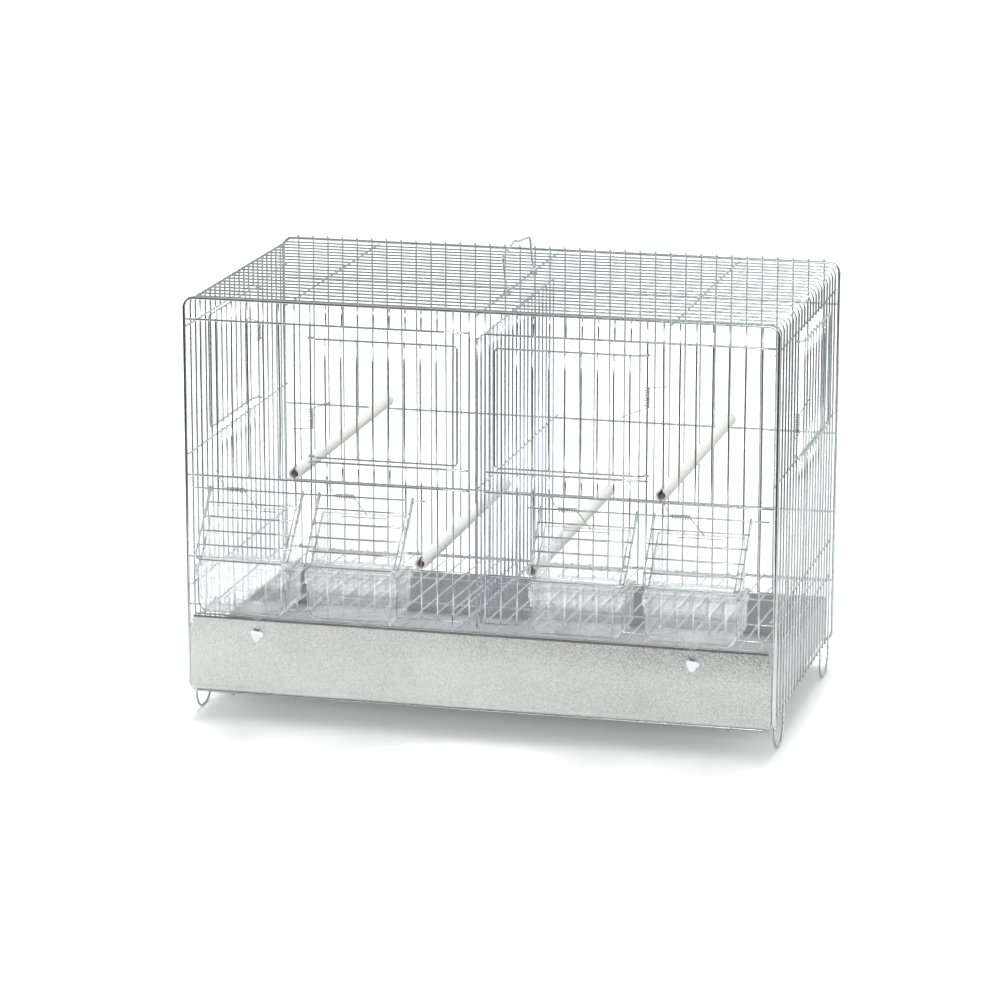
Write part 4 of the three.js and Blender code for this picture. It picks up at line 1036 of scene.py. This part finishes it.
def build_grid():
    """The floor grid, resting on the tray's face in front and falling towards the back."""
    rods = Rods(95)
    wire_z = GRID_BAR_Z + 2 * R_ROD - BITE
    reach = HALF_W - 5.2
    outer, inner = (GRID_BAR_Z, reach), (GRID_BAR_Z - BITE - PASS, reach - 3)
    bars = [(y, *form) for y, form in zip(GRID_BARS, (outer, inner, inner, outer))]
    for n in range(GRID_WIRES):
        x = GRID_PITCH * (n - GRID_WIRES // 2)
        rods.wire([(x, GRID_BARS[0] - R_ROD, wire_z), (x, BACK_BAR_Y + 0.3, wire_z)], R_ROD,
                  sway=stray() * 1.4)
        for y, z, _ in bars:
            rods.bead((x, y, (z + wire_z) / 2), 0.75)
    for y, z, half in bars:
        rods.wire([(-half, y, z), (half, y, z)], R_ROD)
    fall = turn_matrix(0, -math.atan(GRID_DROP / (GRID_BARS[-1] - GRID_BARS[0])))
    pivot = np.array([0, GRID_BARS[0], GRID_BAR_Z])
    rods.place(lambda p: (p - pivot) @ fall.T + pivot)
    show_wires("floor_grid", rods, "floor_grid", "grid")


def build_tray():
    """The folded sheet tray: low walls, a tall face with a hemmed top and a rolled lower lip."""
    t = TRAY_SHEET

    def section(inset, top):
        """The tray's outline as seen from the front, drawn in by inset."""
        return tub_outline(TRAY_HALF - inset, TRAY_Z + inset, top, TRAY_CORNER - inset, 8)

    outer = prism(section(0, TRAY_WALL_TOP), 1, TRAY_FRONT + 0.2, TRAY_BACK)
    inner = prism(section(t, TRAY_WALL_TOP + 1), 1, TRAY_FRONT + t, TRAY_BACK - t)
    lip_y, low = TRAY_FRONT - 2.3, TRAY_Z
    top = TRAY_FACE_TOP
    roll = [(TRAY_FRONT + 0.1, low), (TRAY_FRONT - 1.6, low + 0.15), (lip_y + 0.1, low + 0.9),
            (lip_y, low + 2.2), (lip_y + 0.1, low + 3.5), (TRAY_FRONT - 1.5, low + 4.4),
            (TRAY_FRONT - 1.1, low + 5.2)]
    hem = [(TRAY_FRONT - 1.1, top - 0.8), (TRAY_FRONT - 0.6, top - 0.2), (TRAY_FRONT + 1.2, top),
           (TRAY_FRONT + 2.05, top - 0.2), (TRAY_FRONT + 2.4, top - 0.8), (TRAY_FRONT + 2.4, top - 6),
           (TRAY_FRONT + 1.8, top - 6.6), (TRAY_FRONT + t, top - 7.0)]
    face = prism(roll + hem + [(TRAY_FRONT + t, low)], 0, -TRAY_HALF, TRAY_HALF)
    keep = prism(section(0, top + 1), 1, TRAY_FRONT - 5, TRAY_FRONT + 5)
    panel = prism([(-PANEL_HALF, low + 2), (-PANEL_HALF + 2, low), (PANEL_HALF - 2, low), (PANEL_HALF, low + 2),
                   (PANEL_HALF, top - 7), (-PANEL_HALF, top - 7)], 1, TRAY_FRONT - 1.1, TRAY_FRONT - 0.2)
    face = combined(face, [("INTERSECT", keep), ("UNION", panel)])
    hems = []
    for x0, x1, y0, y1 in ((-TRAY_HALF + t - 0.1, -TRAY_HALF + 2 * t, TRAY_FRONT + 3, TRAY_BACK - 2),
                           (TRAY_HALF - 2 * t, TRAY_HALF - t + 0.1, TRAY_FRONT + 3, TRAY_BACK - 2),
                           (-TRAY_HALF + 3, TRAY_HALF - 3, TRAY_BACK - 2 * t, TRAY_BACK - t + 0.1)):
        hems.append(("UNION", block(x0, x1, y0, y1, TRAY_WALL_TOP - 7, TRAY_WALL_TOP)))
    made = combined(outer, [("DIFFERENCE", inner), ("UNION", face), *hems])
    made = softened(made, 0.3, 2, 40)
    show("tray", made, "tray", ["sheet"])


def build_clips():
    """Two moulded clips that hang on the lowest front bar and hold the tray in."""
    y = TRAY_FRONT - 1.1 - GAP
    z = TRAY_FACE_TOP - 22
    for name, x in CLIP_X.items():
        def plate(points, thickness):
            """A flat form of the clip, its back against the tray's face."""
            return prism([(x + u, v) for u, v in points], 1, y - thickness, y)

        head = plate([(-8, Z_F6 - 2), (8, Z_F6 - 2), (8, Z_F6 + 3), (5, Z_F6 + 6), (-5, Z_F6 + 6),
                      (-8, Z_F6 + 3)], 3)
        strap = plate([(-0.5, z + 8), (0.5, z + 8), (0.6, TRAY_FACE_TOP), (4, TRAY_FACE_TOP + 1), (4.5, Z_F6),
                       (-4.5, Z_F6), (-4, TRAY_FACE_TOP + 1), (-0.6, TRAY_FACE_TOP)], 1)
        button = plate([(0.5, z + 1), (3.2, z + 3.6), (4.2, z + 6), (6.5, z + 7), (6.8, z + 10), (3, z + 12),
                        (-3, z + 13), (-5.4, z + 11), (-4.8, z + 7), (-2.6, z + 2.4)], 4)
        made = softened(combined(head, [("UNION", strap), ("UNION", button)]), 0.7, 3)
        piece = show(name, made, "tray", ["clip", "clear"])
        for face in piece.data.polygons:
            c = face.center * 1000
            web = abs(c.x - x) < 1.6 and z + 12 < c.z < TRAY_FACE_TOP + 1.5
            face.material_index = 1 if web else 0


def build_rails():
    """The rails under the tray, hung on the lower wires of the frames."""
    rods = Rods(97)
    z = Z_BASE - R_FRAME - GAP - R_BAR
    y = HALF_D - R_FRAME - GAP - R_BAR
    cross_z = z + 2 * R_BAR - BITE
    for x in (-RAIL_X, RAIL_X):
        rods.wire([(x, -HALF_D - 1.5, z), (x, HALF_D + 1.5, z)], R_BAR)
        for s in (-1, 1):
            rods.bead((x, s * y, (z + cross_z) / 2), 1.0)
    for s in (-1, 1):
        rods.wire([(-RAIL_REACH, s * y, cross_z), (RAIL_REACH, s * y, cross_z)], R_BAR)
    show_wires("tray_rails", rods)


def build_handle():
    """The carrying handle: one bent wire hooked round the middle tie bar."""
    rods = Rods(99)
    y0, y1, low, high, neck = -45.0, 60.0, 34.0, 40.5, 8
    middle = (y0 + y1) / 2
    front_eye, rear_eye = (arc((0, y, 0), (0, 0, 1), (1, 0, 0), R_SKIN + GAP + R_HANDLE, 330, 40, 16)
                           for y in (y0, y1))
    bail = bend([(0, y0, neck), (0, y0, low), (0, middle - 3, high), (0, middle + 3, high - 2.5), (0, y1, low),
                 (0, y1, neck)], 2.6, 6)
    rods.wire(np.vstack([front_eye, bail, rear_eye[::-1]]), R_HANDLE)
    lean = turn_matrix(1, math.radians(-6))
    rods.place(lambda p: p @ lean.T + np.array([0, 0, TIE_Z - BITE - PASS]))
    show_wires("handle", rods, "handle")


# ---------- stage ----------
FLOOR_RINGS = (0.4, 1.2, 4.0, 9.0)
# name, place in metres, width and height of the lamp, and the sidebar's setting for its power
LAMPS = (("Overhead", (-0.15, 0.5, 2.5), (1.4, 1.1), "overhead"),
         ("Front", (0.4, -3.3, 1.15), (1.6, 0.9), "front"),
         ("Left", (-2.4, -0.6, 1.1), (1.0, 1.8), "sides"),
         ("Right", (2.4, -0.3, 1.1), (1.0, 1.8), "sides"))
# the camera in the cage's own axes, in metres, with its turn about Z, its rise and its roll in degrees
LENS, CAMERA_PLACE = 154.2332, (0.9409626, -3.8334651, 1.1605518)
CAMERA_ANGLES = (14.0372, 13.8458, 0.0647)


def seen_directly(tree):
    """1 where the camera or a view through plastic looks at the surroundings, and 1 in reflections."""
    path = tree.nodes.new("ShaderNodeLightPath").outputs
    return maths(tree, "MAXIMUM", path["Is Camera Ray"], path["Is Transmission Ray"]), path["Is Glossy Ray"]


def build_surroundings(stage):
    """White behind, above and beside the cage; metal in front reflects a dim room."""
    world = bpy.data.worlds.new("Studio")
    bpy.context.scene.world = world
    world.use_nodes = True
    tree = world.node_tree
    tree.nodes.clear()
    around = tree.nodes.new("ShaderNodeTexCoord").outputs["Generated"]
    where = node(tree, "ShaderNodeSeparateXYZ", [("Vector", around)]).outputs
    depth = maths(tree, "MULTIPLY_ADD", where["Y"], 0.5, 0.5)
    room = ramp(tree, depth, [(0.0, stage.room), (0.4, stage.room), (0.54, 0.62), (1.0, 0.8)])
    height = ramp(tree, where["Z"], [(0.0, 0.0), (0.38, 0.0), (0.7, 1.0)])
    room = blend_colour(tree, height, room, (0.5, 0.5, 0.5))
    seen, glossy = seen_directly(tree)
    colour = blend_colour(tree, glossy, (1, 1, 1), room)
    shown = maths(tree, "MAXIMUM", seen, glossy)
    strength = maths(tree, "MULTIPLY_ADD", shown, 1.0 - stage.fill, stage.fill)
    ground = node(tree, "ShaderNodeBackground", [("Color", colour), ("Strength", strength)])
    node(tree, "ShaderNodeOutputWorld", [(0, ground.outputs[0])])


def floor_paint(stage):
    """White paper that ends in front of the cage in reflections, and is lifted where it is seen directly."""
    made, tree = blank("White floor")
    paint = blend_colour(tree, noise(tree, place_of(tree), 60.0, 3.0), (0.94, 0.94, 0.94), (0.96, 0.96, 0.96))
    seen, glossy = seen_directly(tree)
    where = node(tree, "ShaderNodeSeparateXYZ", [("Vector", place_of(tree))]).outputs
    nearer = maths(tree, "SUBTRACT", where["Y"], maths(tree, "MULTIPLY", glossy, 0.3))
    paper = between(tree, nearer, -0.86, -0.7)
    mirrored = maths(tree, "SUBTRACT", 1.0, maths(tree, "MULTIPLY", glossy, 0.32))
    white = maths(tree, "MAXIMUM", seen, maths(tree, "MULTIPLY", paper, mirrored))
    shade = blend_colour(tree, white, (0.05, 0.05, 0.05), paint)
    matt = node(tree, "ShaderNodeBsdfDiffuse", [("Color", shade)])
    reach = node(tree, "ShaderNodeVectorMath", [(0, place_of(tree))], operation="LENGTH")
    lift = maths(tree, "ADD", between(tree, reach.outputs["Value"], 0.62, 2.4), stage.floor_white)
    glow = node(tree, "ShaderNodeEmission", [("Strength", maths(tree, "MULTIPLY", seen, lift))])
    both = node(tree, "ShaderNodeAddShader", [(0, matt.outputs[0]), (1, glow.outputs[0])])
    node(tree, "ShaderNodeOutputMaterial", [(0, both.outputs[0])])
    return made


def build_floor(stage):
    """A wide white floor that keeps the cage's shadow."""
    steps = 96
    angles = np.linspace(0, 2 * math.pi, steps, endpoint=False)
    points = [(r * math.cos(a), r * math.sin(a), 0.0) for r in FLOOR_RINGS for a in angles]
    faces = [tuple(range(steps))]
    for inner in range(0, (len(FLOOR_RINGS) - 1) * steps, steps):
        outer = inner + steps
        for s in range(steps):
            t = (s + 1) % steps
            faces.append((inner + s, outer + s, outer + t, inner + t))
    mesh = bpy.data.meshes.new("Floor")
    mesh.from_pydata(points, [], faces)
    floor = bpy.data.objects.new("Floor", mesh)
    floor.location.z = -0.0001
    bpy.context.scene.collection.objects.link(floor)
    mesh.materials.append(floor_paint(stage))


def build_lamps(stage):
    """A wide soft lamp above and behind, one in front and one at each side."""
    target = Vector((0, SHIFT_Y, 0.2))
    for name, place, size, power in LAMPS:
        lamp = bpy.data.lights.new(name, "AREA")
        lamp.shape = "RECTANGLE"
        lamp.size, lamp.size_y = size
        lamp.energy = getattr(stage, power)
        holder = bpy.data.objects.new(name, lamp)
        holder.location = place
        holder.rotation_mode = "QUATERNION"
        holder.rotation_quaternion = (target - Vector(place)).to_track_quat("-Z", "Y")
        holder.visible_glossy = name != "Overhead"
        bpy.context.scene.collection.objects.link(holder)


def build_camera():
    """The camera, high to the right in front, as the cage is seen in its picture."""
    camera = bpy.data.cameras.new("View")
    camera.lens = LENS
    camera.sensor_width = 36
    camera.clip_start, camera.clip_end = 0.1, 50
    holder = bpy.data.objects.new("View", camera)
    turn, rise, roll = (math.radians(v) for v in CAMERA_ANGLES)
    back = Vector((math.sin(turn) * math.cos(rise), -math.cos(turn) * math.cos(rise), math.sin(rise)))
    right = Vector((math.cos(turn), math.sin(turn), 0))
    up = back.cross(right)
    across = right * math.cos(roll) + up * math.sin(roll)
    upward = up * math.cos(roll) - right * math.sin(roll)
    facing = Matrix((across, upward, back)).transposed().to_4x4()
    x, y, z = CAMERA_PLACE
    holder.matrix_world = Matrix.Translation(Vector((x, y + SHIFT_Y, z))) @ facing
    bpy.context.scene.collection.objects.link(holder)
    bpy.context.scene.camera = holder


# ---------- add-on ----------
def tint(name, description, default):
    """A colour to be set in the sidebar."""
    return bpy.props.FloatVectorProperty(
        name=name, description=description, default=default, subtype="COLOR", size=3, min=0, max=1)


def setting(name, description, default, **limits):
    """A number to be set in the sidebar."""
    return bpy.props.FloatProperty(name=name, description=description, default=default, min=0, **limits)


class CageWires(bpy.types.PropertyGroup):
    """How true the wires are drawn."""

    stray: setting("Stray", "How far a long wire strays from straight, in millimetres", 0.35, max=1.0)


class CageFinish(bpy.types.PropertyGroup):
    """Colours and gloss of the cage's finishes."""

    zinc: tint("Zinc wire", "Colour of the plated wire", (0.82, 0.875, 0.86))
    blue_zinc: tint("Blue zinc wire", "Colour of the divider's plating", (0.74, 0.78, 0.88))
    grid: tint("Grid wire", "Colour of the floor grid's plating", (0.86, 0.85, 0.90))
    spring: tint("Spring wire", "Colour of the drawn spring wire", (0.58, 0.61, 0.60))
    sheet: tint("Sheet", "Colour of the galvanised sheet", (0.83, 0.845, 0.83))
    clear: tint("Clear plastic", "Tint of the feeders", (0.985, 0.992, 1.0))
    milky: tint("Milky plastic", "Colour of the perches", (0.69, 0.70, 0.685))
    clip: tint("Clip plastic", "Colour of the two clips", (0.86, 0.93, 0.96))
    wire_roughness: setting("Wire roughness", "Roughness of freshly plated wire", 0.14, max=1,
                            subtype="FACTOR")


class CageStage(bpy.types.PropertyGroup):
    """Light and surroundings."""

    overhead: setting("Overhead", "Power of the lamp above, in watts", 72.0)
    front: setting("Front", "Power of the lamp in front, in watts", 32.0)
    sides: setting("Sides", "Power of each side lamp, in watts", 10.0)
    fill: setting("Fill", "Strength of the light from the surroundings", 0.45)
    room: setting("Room", "Brightness of the room in front of the cage", 0.03, max=1)
    floor_white: setting("Floor white", "Added whiteness of the floor as seen directly", 0.17)


def operator(label, work):
    """An operator class that builds one piece or one group of like pieces."""
    def execute(self, context):
        work()
        return {"FINISHED"}

    key = work.__name__.replace("build_", "")
    return type(f"CAGE_OT_{key}", (bpy.types.Operator,), {
        "__doc__": work.__doc__.rstrip("."), "bl_idname": f"cage.{key}", "bl_label": label,
        "bl_options": {"REGISTER", "UNDO"}, "execute": execute})


PIECES = [operator(*piece) for piece in (
    ("Frames", build_frames), ("Roof", build_roof), ("Sides", build_sides), ("Back", build_back),
    ("Fronts", build_fronts), ("Rails", build_rails), ("Doors", build_doors), ("Flaps", build_flaps),
    ("Springs", build_springs), ("Feeders", build_feeders), ("Perches", build_perches),
    ("Divider", build_divider), ("Floor grid", build_grid), ("Tray", build_tray), ("Clips", build_clips),
    ("Handle", build_handle))]
SETTINGS = {"cage_wires": CageWires, "cage_finish": CageFinish, "cage_stage": CageStage}


class CAGE_OT_stage(bpy.types.Operator):
    """Builds the floor, surroundings, lamps and camera"""

    bl_idname = "cage.stage"
    bl_label = "Stage"
    bl_options = {"REGISTER", "UNDO"}

    def execute(self, context):
        stage = context.scene.cage_stage
        build_surroundings(stage)
        build_floor(stage)
        build_lamps(stage)
        build_camera()
        return {"FINISHED"}


class CAGE_PT_panel(bpy.types.Panel):
    """Lists the cage's settings and its builders"""

    bl_idname = "CAGE_PT_panel"
    bl_label = "Breeding cage"
    bl_space_type = "VIEW_3D"
    bl_region_type = "UI"
    bl_category = "Cage"

    def draw(self, context):
        for name, kind in SETTINGS.items():
            box = self.layout.box()
            for key in kind.__annotations__:
                box.prop(getattr(context.scene, name), key)
        for piece in (*PIECES, CAGE_OT_stage):
            self.layout.operator(piece.bl_idname)


CLASSES = [*SETTINGS.values(), *PIECES, CAGE_OT_stage, CAGE_PT_panel]


def register():
    """Registers the classes and their settings."""
    for item in CLASSES:
        bpy.utils.register_class(item)
    for name, kind in SETTINGS.items():
        setattr(bpy.types.Scene, name, bpy.props.PointerProperty(type=kind))


def unregister():
    """Removes the settings and the classes."""
    for name in SETTINGS:
        delattr(bpy.types.Scene, name)
    for item in reversed(CLASSES):
        bpy.utils.unregister_class(item)


def main():
    """Builds the whole cage and its stage, and writes how large it came out."""
    register()
    scene = bpy.context.scene
    scene.view_settings.view_transform = "Standard"
    for item in PIECES:
        getattr(bpy.ops.cage, item.bl_idname.split(".")[1])()
    bpy.ops.cage.stage()
    bpy.context.view_layer.update()


if __name__ == "__main__":
    main()
